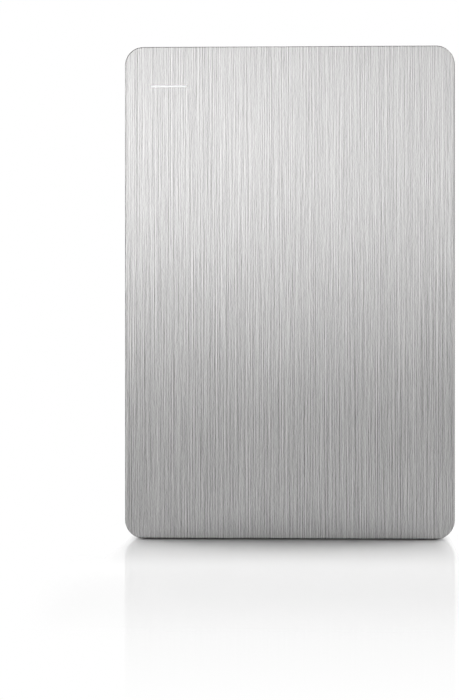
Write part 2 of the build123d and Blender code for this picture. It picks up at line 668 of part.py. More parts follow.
def light_pipe():
    """A clear bar that carries light from the lamp on the board to the slit in the cover."""
    flange_bottom = FRAME_UNDERSIDE - PIPE_FLANGE_SHEET
    foot_z = BRIDGE_TOP + LED_HEIGHT + PIPE_TO_LED
    bar_length, bar_width = SLIT_LENGTH - 2 * FIT, SLIT_HEIGHT - 2 * FIT
    pipe = slit_block(bar_length, bar_width, COVER_INSIDE, BODY_DEPTH - PIPE_RECESS)
    pipe += slit_block(PIPE_NECK_LENGTH, PIPE_NECK, FRAME_UNDERSIDE, COVER_INSIDE)
    pipe += slit_block(PIPE_FLANGE_LENGTH, PIPE_FLANGE, flange_bottom, FRAME_UNDERSIDE)
    foot = Pos(SLIT_X, SLIT_Y, foot_z) * Rectangle(PIPE_FOOT_LENGTH, PIPE_FOOT)
    waist = Pos(SLIT_X, SLIT_Y, flange_bottom) * Rectangle(PIPE_WAIST_LENGTH, PIPE_WAIST)
    return pipe + loft([foot, waist])


def drive_space():
    """The space that the drive takes up."""
    return block((-DRIVE_SIDE, DRIVE_SIDE), (DRIVE_START, DRIVE_END), (DRIVE_BACK, DRIVE_FRONT))


def side_nub(side, y):
    """The nub of a bumper that sits in one of the drive's side holes."""
    start = side * (DRIVE_SIDE - NUB_LENGTH / 2)
    turn = Rot(0, 90, 0)
    return Pos(start, y, SIDE_HOLE_Z) * turn * Cylinder(SIDE_HOLE_RADIUS - FIT, NUB_LENGTH)


def between(side, near, far):
    """Limits across the body on one side of its middle, from near to far."""
    return tuple(sorted((side * near, side * far)))


def corner_bumper(side):
    """A rubber cap round one of the drive's lower corners."""
    x_limits = between(side, DRIVE_SIDE - BUMPER_OVERLAP, CASE_INSIDE)
    cap = block(x_limits, (CASE_WALL, CORNER_BUMPER_END), (CASE_BACK, FRAME_UNDERSIDE))
    outer_edge = cap.edges().filter_by(Axis.Z).sort_by(Axis.Y)[:2].sort_by(Axis.X)
    outer_edge = outer_edge[-1] if side > 0 else outer_edge[0]
    cap = fillet(outer_edge, CORNER_RADIUS - CASE_WALL + CORNER_BUMPER_EASE)
    return cap - drive_space() + side_nub(side, LOWER_HOLE_Y)


def side_bumper(side):
    """A rubber clip on one of the drive's sides, near its connector end."""
    x_limits = between(side, DRIVE_SIDE - BUMPER_OVERLAP, CASE_INSIDE)
    y_limits = (SIDE_BUMPER_START, SIDE_BUMPER_START + SIDE_BUMPER_LENGTH)
    clip = block(x_limits, y_limits, (CASE_BACK, FRAME_UNDERSIDE))
    return clip - drive_space() + side_nub(side, SIDE_BUMPER_Y)


# Bridge board and data port


def bridge_board():
    """The narrow board between the drive and the port end."""
    outline = RectangleRounded(2 * BRIDGE_HALF, BRIDGE_END - BRIDGE_START, BRIDGE_CORNER)
    place = Pos(0, BRIDGE_SCREW_Y, BRIDGE_BOTTOM)
    board = place * extrude(outline, amount=BRIDGE_BOARD)
    hole_radius = BRIDGE_SCREW_SHANK + LOOSE_FIT
    for x in (-BRIDGE_SCREW_X, BRIDGE_SCREW_X):
        board -= post(x, BRIDGE_SCREW_Y, hole_radius, BRIDGE_BOTTOM, BRIDGE_TOP)
    return board


def bridge_screws():
    """The two screws that hold the bridge board on its bosses."""
    screws = []
    tip = BRIDGE_BOTTOM - BRIDGE_PILOT_DEPTH + LOOSE_FIT
    for x in (-BRIDGE_SCREW_X, BRIDGE_SCREW_X):
        head = post(x, BRIDGE_SCREW_Y, BRIDGE_SCREW_HEAD, BRIDGE_TOP, BRIDGE_TOP + BRIDGE_SCREW_HEAD_HEIGHT)
        screws.append(head + post(x, BRIDGE_SCREW_Y, BRIDGE_SCREW_SHANK, tip, BRIDGE_TOP))
    return Compound(screws)


def on_bridge(x, y, length, width, height):
    """A small part soldered to the front of the bridge board."""
    x_limits = (x - length / 2, x + length / 2)
    y_limits = (y - width / 2, y + width / 2)
    return block(x_limits, y_limits, (BRIDGE_TOP, BRIDGE_TOP + height))


def status_led():
    return on_bridge(SLIT_X, SLIT_Y, LED_LENGTH, LED_WIDTH, LED_HEIGHT)


def bridge_controller():
    y = BRIDGE_END - CONTROLLER_FROM_EDGE - CONTROLLER / 2
    return on_bridge(SLIT_X, y, CONTROLLER, CONTROLLER, CONTROLLER_HEIGHT)


def firmware_chip():
    return on_bridge(FIRMWARE_X, SMALL_PART_Y, FIRMWARE_LENGTH, SMALL_PART_WIDTH, SMALL_PART_HEIGHT)


def board_crystal():
    return on_bridge(CRYSTAL_X, SMALL_PART_Y, CRYSTAL_LENGTH, SMALL_PART_WIDTH, SMALL_PART_HEIGHT)


def board_inductor():
    return on_bridge(INDUCTOR_X, SMALL_PART_Y, INDUCTOR_LENGTH, SMALL_PART_WIDTH, INDUCTOR_HEIGHT)


def board_capacitors():
    pitch = CAPACITOR_LENGTH + CAPACITOR_SPACING
    places = [CAPACITORS_X + index * pitch for index in range(CAPACITOR_COUNT)]
    size = (CAPACITOR_LENGTH, CAPACITOR_WIDTH, SMALL_PART_HEIGHT)
    return Compound([on_bridge(x, SMALL_PART_Y, *size) for x in places])


def port_outline():
    """The mouth of the port: a wide and a narrow bay side by side, joined by a web."""
    half, top = PORT_WIDTH / 2, PORT_HEIGHT / 2
    step = PORT_CHAMFER - top
    web_start = PORT_WEB_AT - PORT_WEB_WIDTH / 2
    web_end = PORT_WEB_AT + PORT_WEB_WIDTH / 2
    outline = Polygon(
        (-half, top),
        (-half, step),
        (-half + PORT_CHAMFER, -top),
        (web_start - PORT_CHAMFER, -top),
        (web_start, step),
        (web_end, step),
        (web_end + PORT_CHAMFER, -top),
        (half - PORT_CHAMFER, -top),
        (half, step),
        (half, top),
        align=None,
    )
    return Pos(PORT_ACROSS, PORT_Z) * outline


def port_shell():
    """The folded metal shell of the port."""
    mouth = port_outline()
    skin = offset(mouth, PORT_SHELL, kind=Kind.INTERSECTION)
    return along_y(skin - mouth, PORT_REAR, PORT_MOUTH)


def port_bays():
    """The limits across of the two contact tongues in the port."""
    half = PORT_WIDTH / 2 - PORT_CHAMFER - PORT_TONGUE_MARGIN
    reach = PORT_WEB_WIDTH / 2 + PORT_CHAMFER + PORT_TONGUE_MARGIN
    wide = (PORT_ACROSS - half, PORT_ACROSS + PORT_WEB_AT - reach)
    narrow = (PORT_ACROSS + PORT_WEB_AT + reach, PORT_ACROSS + half)
    return wide, narrow


def port_tongue():
    """The insulator: a block that fills the back of the shell, with a tongue in each bay."""
    fill = offset(port_outline(), -FIT, kind=Kind.INTERSECTION)
    insulator = along_y(fill, PORT_REAR, PORT_REAR + PORT_BACK)
    middle = PORT_Z + PORT_TONGUE_RISE
    depth = (middle - PORT_TONGUE / 2, middle + PORT_TONGUE / 2)
    for bay in port_bays():
        insulator += block(bay, (PORT_REAR + PORT_BACK, PORT_MOUTH - PORT_TONGUE_SHORT), depth)
    return insulator


def port_contacts():
    """The contact strips under the two tongues of the port."""
    top = PORT_Z + PORT_TONGUE_RISE - PORT_TONGUE / 2
    ends = (PORT_REAR + PORT_BACK, PORT_MOUTH - PORT_TONGUE_SHORT - PORT_PIN_SHORT)
    strips = []
    for left, right in port_bays():
        first = (left + right) / 2 - PORT_PIN_PITCH * (PORT_PIN_COUNT - 1) / 2
        for index in range(PORT_PIN_COUNT):
            x = first + index * PORT_PIN_PITCH
            sides = (x - PORT_PIN_WIDTH / 2, x + PORT_PIN_WIDTH / 2)
            strips.append(block(sides, ends, (top - PORT_PIN_SHEET, top)))
    return Compound(strips)


def shield_foil():
    """The thin foil stuck to the drive's lid that shades the bridge board."""
    x_limits = (PORT_ACROSS - PORT_WIDTH / 2, PLUG_ACROSS + PLUG_HALF)
    y_limits = (SIDE_BUMPER_START + SIDE_BUMPER_LENGTH + FOIL_MARGIN, PORT_WALL - FOIL_FROM_END)
    return block(x_limits, y_limits, (DRIVE_FRONT, DRIVE_FRONT + FOIL_SHEET))


# Connector between the drive and the bridge board


def tongue_section(start, width, grow):
    """The L-shaped section of one contact tongue, with its key at the right end."""
    low, high = PLUG_Z - TONGUE_THICKNESS / 2 - grow, PLUG_Z + TONGUE_THICKNESS / 2 + grow
    key_start = start + width - TONGUE_KEY - grow
    return Polygon(
        (start - grow, low),
        (start + width + grow, low),
        (start + width + grow, high + TONGUE_KEY_HEIGHT),
        (key_start, high + TONGUE_KEY_HEIGHT),
        (key_start, high),
        (start - grow, high),
        align=None,
    )


def tongues(grow, start, end):
    """Both contact tongues, the narrow one for signals and the wide one for power."""
    signal = along_y(tongue_section(SIGNAL_START, SIGNAL_WIDTH, grow), start, end)
    power = along_y(tongue_section(POWER_START, POWER_WIDTH, grow), start, end)
    return [signal, power]


def pin_places():
    """Where the contacts stand across both tongues."""
    rows = ((SIGNAL_START, SIGNAL_WIDTH, SIGNAL_PIN_COUNT), (POWER_START, POWER_WIDTH, POWER_PIN_COUNT))
    places = []
    for start, width, count in rows:
        first = start + width / 2 - PIN_PITCH * (count - 1) / 2
        places += [first + index * PIN_PITCH for index in range(count)]
    return places


def drive_plug():
    """The drive's connector: a back wall on the drive board, two tongues and a post at each end."""
    left, right = PLUG_ACROSS - PLUG_HALF, PLUG_ACROSS + PLUG_HALF
    depth = (DRIVE_BOARD_TOP, DRIVE_BOARD_TOP + PLUG_HEIGHT)
    plug = block((left, right), (PLUG_BACK_START, PLUG_FACE), depth)
    plug += tongues(0, PLUG_FACE, TONGUE_END)
    for x_limits in ((left, left + PLUG_POST), (right - PLUG_POST, right)):
        plug += block(x_limits, (PLUG_FACE, TONGUE_END), depth)
    return plug


def plug_contacts():
    """The flat contacts under the tongues of the drive's connector."""
    top = PLUG_Z - TONGUE_THICKNESS / 2
    half = PIN_WIDTH / 2
    y_limits = (PLUG_FACE, PLUG_FACE + PIN_LENGTH)
    return Compound([block((x - half, x + half), y_limits, (top - PIN_SHEET, top)) for x in pin_places()])


def drive_socket():
    """The socket on the bridge board that slides over the drive's tongues."""
    x_limits = (PLUG_ACROSS - SOCKET_HALF, PLUG_ACROSS + SOCKET_HALF)
    socket = block(x_limits, (SOCKET_FACE, SOCKET_END), (BRIDGE_TOP, BRIDGE_TOP + SOCKET_HEIGHT))
    return socket - tongues(LOOSE_FIT, SOCKET_FACE, TONGUE_END + LOOSE_FIT)


def socket_tails():
    """The solder tails behind the socket."""
    half = TAIL_WIDTH / 2
    y_limits = (SOCKET_END, SOCKET_END + TAIL_LENGTH)
    depth = (BRIDGE_TOP, BRIDGE_TOP + TAIL_SHEET)
    return Compound([block((x - half, x + half), y_limits, depth) for x in pin_places()])


# Drive: casting, lid and board


def lid_screw_places():
    """Where the lid is screwed down: three places along each side."""
    x = DRIVE_SIDE - LID_SCREW_INSET
    ys = (DRIVE_START + LID_SCREW_FROM_END, PIVOT_Y, BAY_END - LID_SCREW_FROM_END)
    return [(side * x, y) for side in (-1, 1) for y in ys]


def board_screw_places():
    """Where the drive board is screwed down: its two inner corners and the corner beside the plug."""
    x = BOARD_HALF - BOARD_SCREW_INSET
    near = BOARD_START + BOARD_SCREW_INSET
    far = NOTCH_START - BOARD_SCREW_INSET
    return [(-x, near), (x, near), (-x, far)]


def drive_base():
    """The cast base: platter well, arm bay, motor well and boss, board pocket, notch and holes."""
    base = drive_slab(DRIVE_BACK, BASE_TOP) - chamber(0, BAY_FLOOR_Z, BASE_TOP)
    base -= post(0, SPINDLE_Y, MOTOR_WELL_RADIUS, MOTOR_FLOOR_Z, BAY_FLOOR_Z)
    base += post(0, SPINDLE_Y, MOTOR_BOSS_RADIUS, MOTOR_FLOOR_Z, STATOR_TOP)
    base -= post(0, SPINDLE_Y, SLEEVE_RADIUS + FIT, DRIVE_BACK, STATOR_TOP)
    base -= block((-POCKET_HALF, POCKET_HALF), (POCKET_START, DRIVE_END), (DRIVE_BACK, POCKET_ROOF))
    notch = (PLUG_ACROSS - PLUG_HALF - LOOSE_FIT, PLUG_ACROSS + PLUG_HALF + LOOSE_FIT)
    base -= block(notch, (NOTCH_START, DRIVE_END), (DRIVE_BACK, BASE_TOP))
    bite = DRIVE_BOARD_TOP + BOARD_SCREW_BITE
    for x, y in board_screw_places():
        base += post(x, y, BOARD_SCREW_BOSS, DRIVE_BOARD_TOP, POCKET_ROOF)
        base -= post(x, y, BOARD_SCREW_SHANK + FIT, DRIVE_BOARD_TOP, bite + LOOSE_FIT)
    for x, y in lid_screw_places():
        base -= post(x, y, LID_SCREW_SHANK + FIT, BASE_TOP - LID_SCREW_DEPTH - LOOSE_FIT, BASE_TOP)
    for side in (-1, 1):
        for y in (LOWER_HOLE_Y, SIDE_BUMPER_Y):
            middle = side * (DRIVE_SIDE - SIDE_HOLE_DEPTH / 2)
            hole = Rot(0, 90, 0) * Cylinder(SIDE_HOLE_RADIUS, SIDE_HOLE_DEPTH)
            base -= Pos(middle, y, SIDE_HOLE_Z) * hole
    return base


def screw_cone(x, y, grow):
    """The countersunk head of a lid screw, or with grow the seat that it fills."""
    cone = Cone(LID_SCREW_SHANK + grow, LID_SCREW_HEAD + grow, LID_SHEET)
    return Pos(x, y, LID_UNDERSIDE + LID_SHEET / 2) * cone


def drive_lid():
    """The stamped lid: a flat sheet with a shallow round panel over the spindle."""
    lid = drive_slab(LID_UNDERSIDE, DRIVE_FRONT)
    lid -= post(0, SPINDLE_Y, LID_DISC_RADIUS, DRIVE_FRONT - LID_DISC_DEPTH, DRIVE_FRONT)
    lid -= [screw_cone(x, y, FIT) for x, y in lid_screw_places()]
    breather_y = PIVOT_Y + BREATHER_ALONG
    return lid - post(BREATHER_ACROSS, breather_y, BREATHER_RADIUS, LID_UNDERSIDE, DRIVE_FRONT)


def lid_screws():
    """The flush screws round the lid."""
    tip = BASE_TOP - LID_SCREW_DEPTH
    shanks = [post(x, y, LID_SCREW_SHANK, tip, LID_UNDERSIDE) for x, y in lid_screw_places()]
    heads = [screw_cone(x, y, 0) for x, y in lid_screw_places()]
    return Compound([shank + head for shank, head in zip(shanks, heads)])


def lid_seal():
    """The gasket that follows the chamber's rim."""
    outer = chamber(SEAL_MARGIN + SEAL_WIDTH, BASE_TOP, LID_UNDERSIDE)
    return outer - chamber(SEAL_MARGIN, BASE_TOP, LID_UNDERSIDE)


def breather_filter():
    """The felt disc under the lid's breather hole."""
    bottom = LID_UNDERSIDE - BREATHER_FILTER_HEIGHT
    return post(BREATHER_ACROSS, PIVOT_Y + BREATHER_ALONG, BREATHER_FILTER_RADIUS, bottom, LID_UNDERSIDE)


def air_filter():
    """The pillow filter that stands on the bay floor beside the arm."""
    right = BAY_SIDE - FILTER_FROM_WALL
    middle = PIVOT_Y + FILTER_ALONG
    y_limits = (middle - FILTER_LENGTH / 2, middle + FILTER_LENGTH / 2)
    return block((right - FILTER_WIDTH, right), y_limits, (BAY_FLOOR_Z, BAY_FLOOR_Z + FILTER_HEIGHT))


def drive_board():
    """The drive's own board, in its pocket on the back of the base."""
    outline = RectangleRounded(2 * BOARD_HALF, BOARD_END - BOARD_START, DRIVE_BOARD_CORNER)
    place = Pos(0, (BOARD_START + BOARD_END) / 2, DRIVE_BOARD_BOTTOM)
    board = place * extrude(outline, amount=DRIVE_BOARD)
    hole_radius = BOARD_SCREW_SHANK + LOOSE_FIT
    for x, y in board_screw_places():
        board -= post(x, y, hole_radius, DRIVE_BOARD_BOTTOM, DRIVE_BOARD_TOP)
    return board


def drive_board_screws():
    """The flat screws that hold the drive board to the base."""
    screws = []
    head_bottom = DRIVE_BOARD_BOTTOM - BOARD_SCREW_HEAD_HEIGHT
    tip = DRIVE_BOARD_TOP + BOARD_SCREW_BITE
    for x, y in board_screw_places():
        head = post(x, y, BOARD_SCREW_HEAD, head_bottom, DRIVE_BOARD_BOTTOM)
        screws.append(head + post(x, y, BOARD_SCREW_SHANK, DRIVE_BOARD_BOTTOM, tip))
    return Compound(screws)


def on_drive_board(x, length, width):
    """A chip on the hidden side of the drive board, in the row across it."""
    x_limits = (x - length / 2, x + length / 2)
    y_limits = (CHIP_LINE - width / 2, CHIP_LINE + width / 2)
    return block(x_limits, y_limits, (DRIVE_BOARD_TOP, DRIVE_BOARD_TOP + CHIP_HEIGHT))


def drive_controller():
    return on_drive_board(DRIVE_CHIP_ACROSS, DRIVE_CHIP, DRIVE_CHIP)


def motor_driver():
    return on_drive_board(MOTOR_CHIP_ACROSS, MOTOR_CHIP, MOTOR_CHIP)


def cache_chip():
    return on_drive_board(CACHE_ACROSS, CACHE_WIDTH, CACHE_LENGTH)


# Drive: spindle


def bearing_sleeve():
    """The still sleeve of the spindle's fluid bearing, closed at the back."""
    sleeve = post(0, SPINDLE_Y, SLEEVE_RADIUS, DRIVE_BACK, SLEEVE_TOP)
    return sleeve - post(0, SPINDLE_Y, SLEEVE_BORE, DRIVE_BACK + SLEEVE_FLOOR, SLEEVE_TOP)


def stator_core():
    """The laminated stator: a ring with teeth that end in curved shoes."""
    root = MOTOR_BOSS_RADIUS + FIT
    ring_radius = root + STATOR_YOKE
    shoe_start = STATOR_RADIUS - STATOR_SHOE
    core = Circle(ring_radius)
    for place in PolarLocations(0, STATOR_TEETH):
        tooth_length = shoe_start + STATOR_SHOE / 2
        core += place * Pos(tooth_length / 2, 0) * Rectangle(tooth_length, STATOR_TOOTH)
        shoe_outer = CenterArc((0, 0), STATOR_RADIUS, -STATOR_SHOE_SPREAD / 2, STATOR_SHOE_SPREAD)
        shoe_inner = CenterArc((0, 0), shoe_start, -STATOR_SHOE_SPREAD / 2, STATOR_SHOE_SPREAD)
        ends = [Line(shoe_inner @ 0, shoe_outer @ 0), Line(shoe_outer @ 1, shoe_inner @ 1)]
        core += place * make_face([shoe_outer, shoe_inner, *ends])
    core -= Circle(root)
    return Pos(0, SPINDLE_Y, STATOR_BOTTOM) * extrude(core, amount=STATOR_SHEET)


def stator_coils():
    """The windings round the stator's teeth."""
    start = MOTOR_BOSS_RADIUS + STATOR_YOKE + 2 * LOOSE_FIT
    end = STATOR_RADIUS - STATOR_SHOE - LOOSE_FIT
    middle = Pos((start + end) / 2, 0, 0)
    winding = middle * Box(end - start, STATOR_COIL_WIDTH, STATOR_COIL_HEIGHT)
    gap = 2 * FIT
    winding -= middle * Box(end - start, STATOR_TOOTH + gap, STATOR_SHEET + gap)
    centre = Pos(0, SPINDLE_Y, (STATOR_BOTTOM + STATOR_TOP) / 2)
    return Compound([centre * place * winding for place in PolarLocations(0, STATOR_TEETH)])


def spindle_hub():
    """The turned hub: a plate on the shaft, a skirt round the rotor ring and a flange for the platter."""
    bore = SHAFT_RADIUS + FIT
    skirt_bottom = MOTOR_FLOOR_Z + AIR_GAP
    flange_bottom = PLATTER_BOTTOM - HUB_FLANGE_HEIGHT
    return turned(
        [
            (bore, HUB_UNDERSIDE),
            (SKIRT_BORE, HUB_UNDERSIDE),
            (SKIRT_BORE, skirt_bottom),
            (SKIRT_RADIUS, skirt_bottom),
            (SKIRT_RADIUS, flange_bottom),
            (FLANGE_RADIUS, flange_bottom),
            (FLANGE_RADIUS, PLATTER_BOTTOM),
            (SPIGOT_RADIUS, PLATTER_BOTTOM),
            (SPIGOT_RADIUS, HUB_TOP),
            (bore, HUB_TOP),
        ]
    )


def spindle_shaft():
    """The shaft pressed in the hub, drilled for the clamp's screw."""
    shaft = post(0, SPINDLE_Y, SHAFT_RADIUS, SHAFT_BOTTOM, HUB_TOP)
    drill = CLAMP_TOP - CLAMP_SHANK_LENGTH - LOOSE_FIT
    return shaft - post(0, SPINDLE_Y, CLAMP_SHANK_RADIUS + FIT, drill, HUB_TOP)


def rotor_magnet():
    """The ring magnet inside the hub's skirt."""
    top = HUB_UNDERSIDE - FIT
    return ring(0, SPINDLE_Y, ROTOR_RADIUS - ROTOR_RING, ROTOR_RADIUS, top - ROTOR_HEIGHT, top)


def platter():
    """The recording disc."""
    return ring(0, SPINDLE_Y, PLATTER_BORE / 2, PLATTER_RADIUS, PLATTER_BOTTOM, PLATTER_TOP)


def disk_clamp():
    """The dished spring plate that presses the platter on the hub's flange."""
    rim_start = FLANGE_RADIUS - CLAMP_RIM_WIDTH
    return turned(
        [
            (CLAMP_HOLE_RADIUS, PLATTER_TOP),
            (FLANGE_RADIUS, PLATTER_TOP),
            (FLANGE_RADIUS, CLAMP_TOP),
            (rim_start, CLAMP_TOP),
            (rim_start - CLAMP_DISH, CLAMP_TOP - CLAMP_DISH),
            (CLAMP_HEAD_RADIUS + 2 * CLAMP_DISH, CLAMP_TOP - CLAMP_DISH),
            (CLAMP_HEAD_RADIUS + CLAMP_DISH, CLAMP_TOP),
            (CLAMP_HOLE_RADIUS, CLAMP_TOP),
        ]
    )


def clamp_screw():
    """The screw through the clamp into the shaft."""
    head = post(0, SPINDLE_Y, CLAMP_HEAD_RADIUS, CLAMP_TOP, CLAMP_TOP + CLAMP_HEAD_HEIGHT)
    return head + post(0, SPINDLE_Y, CLAMP_SHANK_RADIUS, CLAMP_TOP - CLAMP_SHANK_LENGTH, CLAMP_TOP)


# Drive: swing arm


def pivot_shaft():
    """The still post that the arm turns on, held between the bay floor and the lid."""
    foot = post(PIVOT_X, PIVOT_Y, PIVOT_FOOT_RADIUS, BAY_FLOOR_Z, BAY_FLOOR_Z + PIVOT_FOOT_HEIGHT)
    return foot + post(PIVOT_X, PIVOT_Y, PIVOT_SHAFT_RADIUS, BAY_FLOOR_Z, LID_UNDERSIDE)


def pivot_sleeve():
    """The bearing cartridge in the arm's hub."""
    depth = (ARM_PLANE - ARM_HALF, ARM_PLANE + ARM_HALF)
    return ring(PIVOT_X, PIVOT_Y, PIVOT_BORE, PIVOT_SLEEVE_RADIUS, *depth)


def actuator_arm():
    """The arm block: a hub, a tapered blade each side of the platter and a fork for the coil."""
    tip = HEAD_REACH - ARM_TIP_SHORT
    blade = Polygon(
        (0, -ARM_ROOT_WIDTH / 2),
        (tip, -ARM_TIP_WIDTH / 2),
        (tip, ARM_TIP_WIDTH / 2),
        (0, ARM_ROOT_WIDTH / 2),
        align=None,
    )
    blade -= Pos(ARM_HOLE_AT, 0) * Circle(ARM_HOLE_RADIUS)
    arm = post(PIVOT_X, PIVOT_Y, ARM_HUB_RADIUS, ARM_PLANE - ARM_HALF, ARM_PLANE + ARM_HALF)
    for bottom, top in above_and_below(ARM_FACE, ARM_HALF):
        arm += along_arm(blade, bottom, top)
    fork = sector(PIVOT_BORE, FORK_RADIUS, COIL_MIDDLE, FORK_SPREAD, COIL_BOTTOM, COIL_TOP)
    clearance = degrees(2 * LOOSE_FIT / COIL_INNER)
    seat = COIL_INNER - LOOSE_FIT
    fork -= sector(seat, COIL_OUTER, COIL_MIDDLE, COIL_SPREAD + clearance, COIL_BOTTOM, COIL_TOP)
    arm += fork
    bore = PIVOT_SLEEVE_RADIUS + FIT
    return arm - post(PIVOT_X, PIVOT_Y, bore, ARM_PLANE - ARM_HALF, ARM_PLANE + ARM_HALF)


def voice_coil():
    """The flat wound coil at the tail of the arm."""
    coil = sector(COIL_INNER, COIL_OUTER, COIL_MIDDLE, COIL_SPREAD, COIL_BOTTOM, COIL_TOP)
    inner, outer = COIL_INNER + COIL_BAND, COIL_OUTER - COIL_BAND
    spread = COIL_SPREAD - 2 * COIL_BAND_SPREAD
    return coil - sector(inner, outer, COIL_MIDDLE, spread, COIL_BOTTOM, COIL_TOP)


def suspension_outline():
    """A sprung blade that narrows to the heads and ends in a lift tab."""
    root = HEAD_REACH - ARM_TIP_SHORT - SUSPENSION_LAP
    shoulder = HEAD_REACH - ARM_TIP_SHORT
    nose = HEAD_REACH + SLIDER_LENGTH / 2
    end = HEAD_REACH + LIFT_TAB_LENGTH
    half_root, half_nose = SUSPENSION_ROOT_WIDTH / 2, SUSPENSION_NOSE_WIDTH / 2
    half_tab = LIFT_TAB_WIDTH / 2
    side = [(root, half_root), (shoulder, half_root), (nose, half_nose), (end, half_tab)]
    other_side = [(along, -across) for along, across in reversed(side)]
    return Polygon(*side, *other_side, align=None)


def upper_suspension():
    """The sprung blade on the lid's side of the platter."""
    above = above_and_below(SUSPENSION_FACE, ARM_FACE)[0]
    return along_arm(suspension_outline(), *above)


def lower_suspension():
    """The sprung blade on the floor's side of the platter."""
    below = above_and_below(SUSPENSION_FACE, ARM_FACE)[1]
    return along_arm(suspension_outline(), *below)


def head_sliders():
    """The two heads, one each side of the platter's level."""
    outline = Pos(HEAD_REACH, 0) * Rectangle(SLIDER_LENGTH, SLIDER_WIDTH)
    return Compound([along_arm(outline, *depth) for depth in above_and_below(HEAD_FACE, SUSPENSION_FACE)])


def lower_yoke():
    """The steel plate under the coil, with the posts that carry the upper plate."""
    yoke = sector(YOKE_INNER, YOKE_RADIUS, YOKE_MIDDLE, YOKE_SPREAD, BAY_FLOOR_Z, LOWER_YOKE_TOP)
    for turn in (-YOKE_POST_SPREAD, 0, YOKE_POST_SPREAD):
        x, y = about_pivot(YOKE_POST_ORBIT, YOKE_MIDDLE + turn)
        yoke += post(x, y, YOKE_POST_RADIUS, LOWER_YOKE_TOP, MAGNET_TOP)
    return yoke


def upper_yoke():
    """The steel plate over the magnet."""
    return sector(YOKE_INNER, YOKE_RADIUS, YOKE_MIDDLE, YOKE_SPREAD, MAGNET_TOP, UPPER_YOKE_TOP)


def voice_magnet():
    """The flat magnet under the upper plate."""
    spread = YOKE_SPREAD - 2 * YOKE_OVERLAP
    return sector(COIL_INNER, COIL_OUTER, YOKE_MIDDLE, spread, MAGNET_BOTTOM, MAGNET_TOP)


def crash_stops():
    """The two rubber posts that end the arm's swing."""
    offset_angle = FORK_SPREAD / 2 + degrees((STOP_RADIUS + STOP_GAP) / STOP_ORBIT)
    stops = []
    for angle in (COIL_MIDDLE + offset_angle, COIL_MIDDLE - SWING - offset_angle):
        x, y = about_pivot(STOP_ORBIT, angle)
        stops.append(post(x, y, STOP_RADIUS, BAY_FLOOR_Z, MAGNET_BOTTOM))
    return Compound(stops)


def parking_ramp():
    """The ramp that holds the lift tabs off the platter, on a foot outside their path."""
    half = SUSPENSION_FACE - RAMP_GAP
    shelf_start = HEAD_REACH + RAMP_START
    shelf_end = shelf_start + RAMP_SHELF
    middle = ARM_PARKED - RAMP_LEAD + RAMP_SPREAD / 2
    shelf = sector(shelf_start, shelf_end, middle, RAMP_SPREAD, ARM_PLANE - half, ARM_PLANE + half)
    foot_end = shelf_end + RAMP_FOOT
    foot = sector(shelf_end, foot_end, middle, RAMP_SPREAD, BAY_FLOOR_Z, ARM_PLANE + half + RAMP_WALL)
    clear = post(0, SPINDLE_Y, PLATTER_RADIUS + RAMP_TO_PLATTER, BAY_FLOOR_Z, LID_UNDERSIDE)
    return shelf + foot - clear


def flex_bracket():
    """The block where the heads' flexible lead leaves the chamber."""
    x = PIVOT_X + BRACKET_ACROSS
    end = BAY_END - BRACKET_FROM_WALL
    y_limits = (end - BRACKET_LENGTH, end)
    return block((x, x + BRACKET_WIDTH), y_limits, (BAY_FLOOR_Z, BAY_FLOOR_Z + BRACKET_HEIGHT))


def head_flex():
    """The flexible lead that loops from the bracket to the arm's hub."""
    start_x = PIVOT_X + BRACKET_ACROSS + BRACKET_WIDTH / 2
    start_y = BAY_END - BRACKET_FROM_WALL - BRACKET_LENGTH
    end = about_pivot(ARM_HUB_RADIUS + FLEX_SHEET, FLEX_ANGLE)
    route = TangentArc((start_x, start_y), end, tangent=(0, -1))
    ribbon = extrude(trace(route, FLEX_SHEET), amount=FLEX_HEIGHT)
    return Pos(0, 0, ARM_PLANE - FLEX_HEIGHT / 2) * ribbon


PIECES = {
    "front_cover": front_cover,
    "cover_adhesive": cover_adhesive,
    "front_frame": front_frame,
    "rear_case": rear_case,
    "light_pipe": light_pipe,
    "lower_bumper_left": lambda: corner_bumper(-1),
    "lower_bumper_right": lambda: corner_bumper(1),
    "side_bumper_left": lambda: side_bumper(-1),
    "side_bumper_right": lambda: side_bumper(1),
    "bridge_board": bridge_board,
    "bridge_screws": bridge_screws,
    "bridge_controller": bridge_controller,
    "firmware_chip": firmware_chip,
    "board_crystal": board_crystal,
    "board_inductor": board_inductor,
    "board_capacitors": board_capacitors,
    "status_led": status_led,
    "port_shell": port_shell,
    "port_tongue": port_tongue,
    "port_contacts": port_contacts,
    "drive_socket": drive_socket,
    "socket_tails": socket_tails,
    "shield_foil": shield_foil,
    "drive_base": drive_base,
    "drive_lid": drive_lid,
    "lid_seal": lid_seal,
    "lid_screws": lid_screws,
    "breather_filter": breather_filter,
    "air_filter": air_filter,
    "drive_board": drive_board,
    "drive_board_screws": drive_board_screws,
    "drive_controller": drive_controller,
    "motor_driver": motor_driver,
    "cache_chip": cache_chip,
    "drive_plug": drive_plug,
    "plug_contacts": plug_contacts,
    "bearing_sleeve": bearing_sleeve,
    "stator_core": stator_core,
    "stator_coils": stator_coils,
    "spindle_hub": spindle_hub,
    "spindle_shaft": spindle_shaft,
    "rotor_magnet": rotor_magnet,
    "platter": platter,
    "disk_clamp": disk_clamp,
    "clamp_screw": clamp_screw,
    "pivot_shaft": pivot_shaft,
    "pivot_sleeve": pivot_sleeve,
    "actuator_arm": actuator_arm,
    "voice_coil": voice_coil,
    "upper_suspension": upper_suspension,
    "lower_suspension": lower_suspension,
    "head_sliders": head_sliders,
    "lower_yoke": lower_yoke,
    "upper_yoke": upper_yoke,
    "voice_magnet": voice_magnet,
    "crash_stops": crash_stops,
    "parking_ramp": parking_ramp,
    "flex_bracket": flex_bracket,
    "head_flex": head_flex,
}

os.makedirs("parts", exist_ok=True)
for name, make in PIECES.items():
    export_step(stand_up(make()), f"parts/{name}.step")
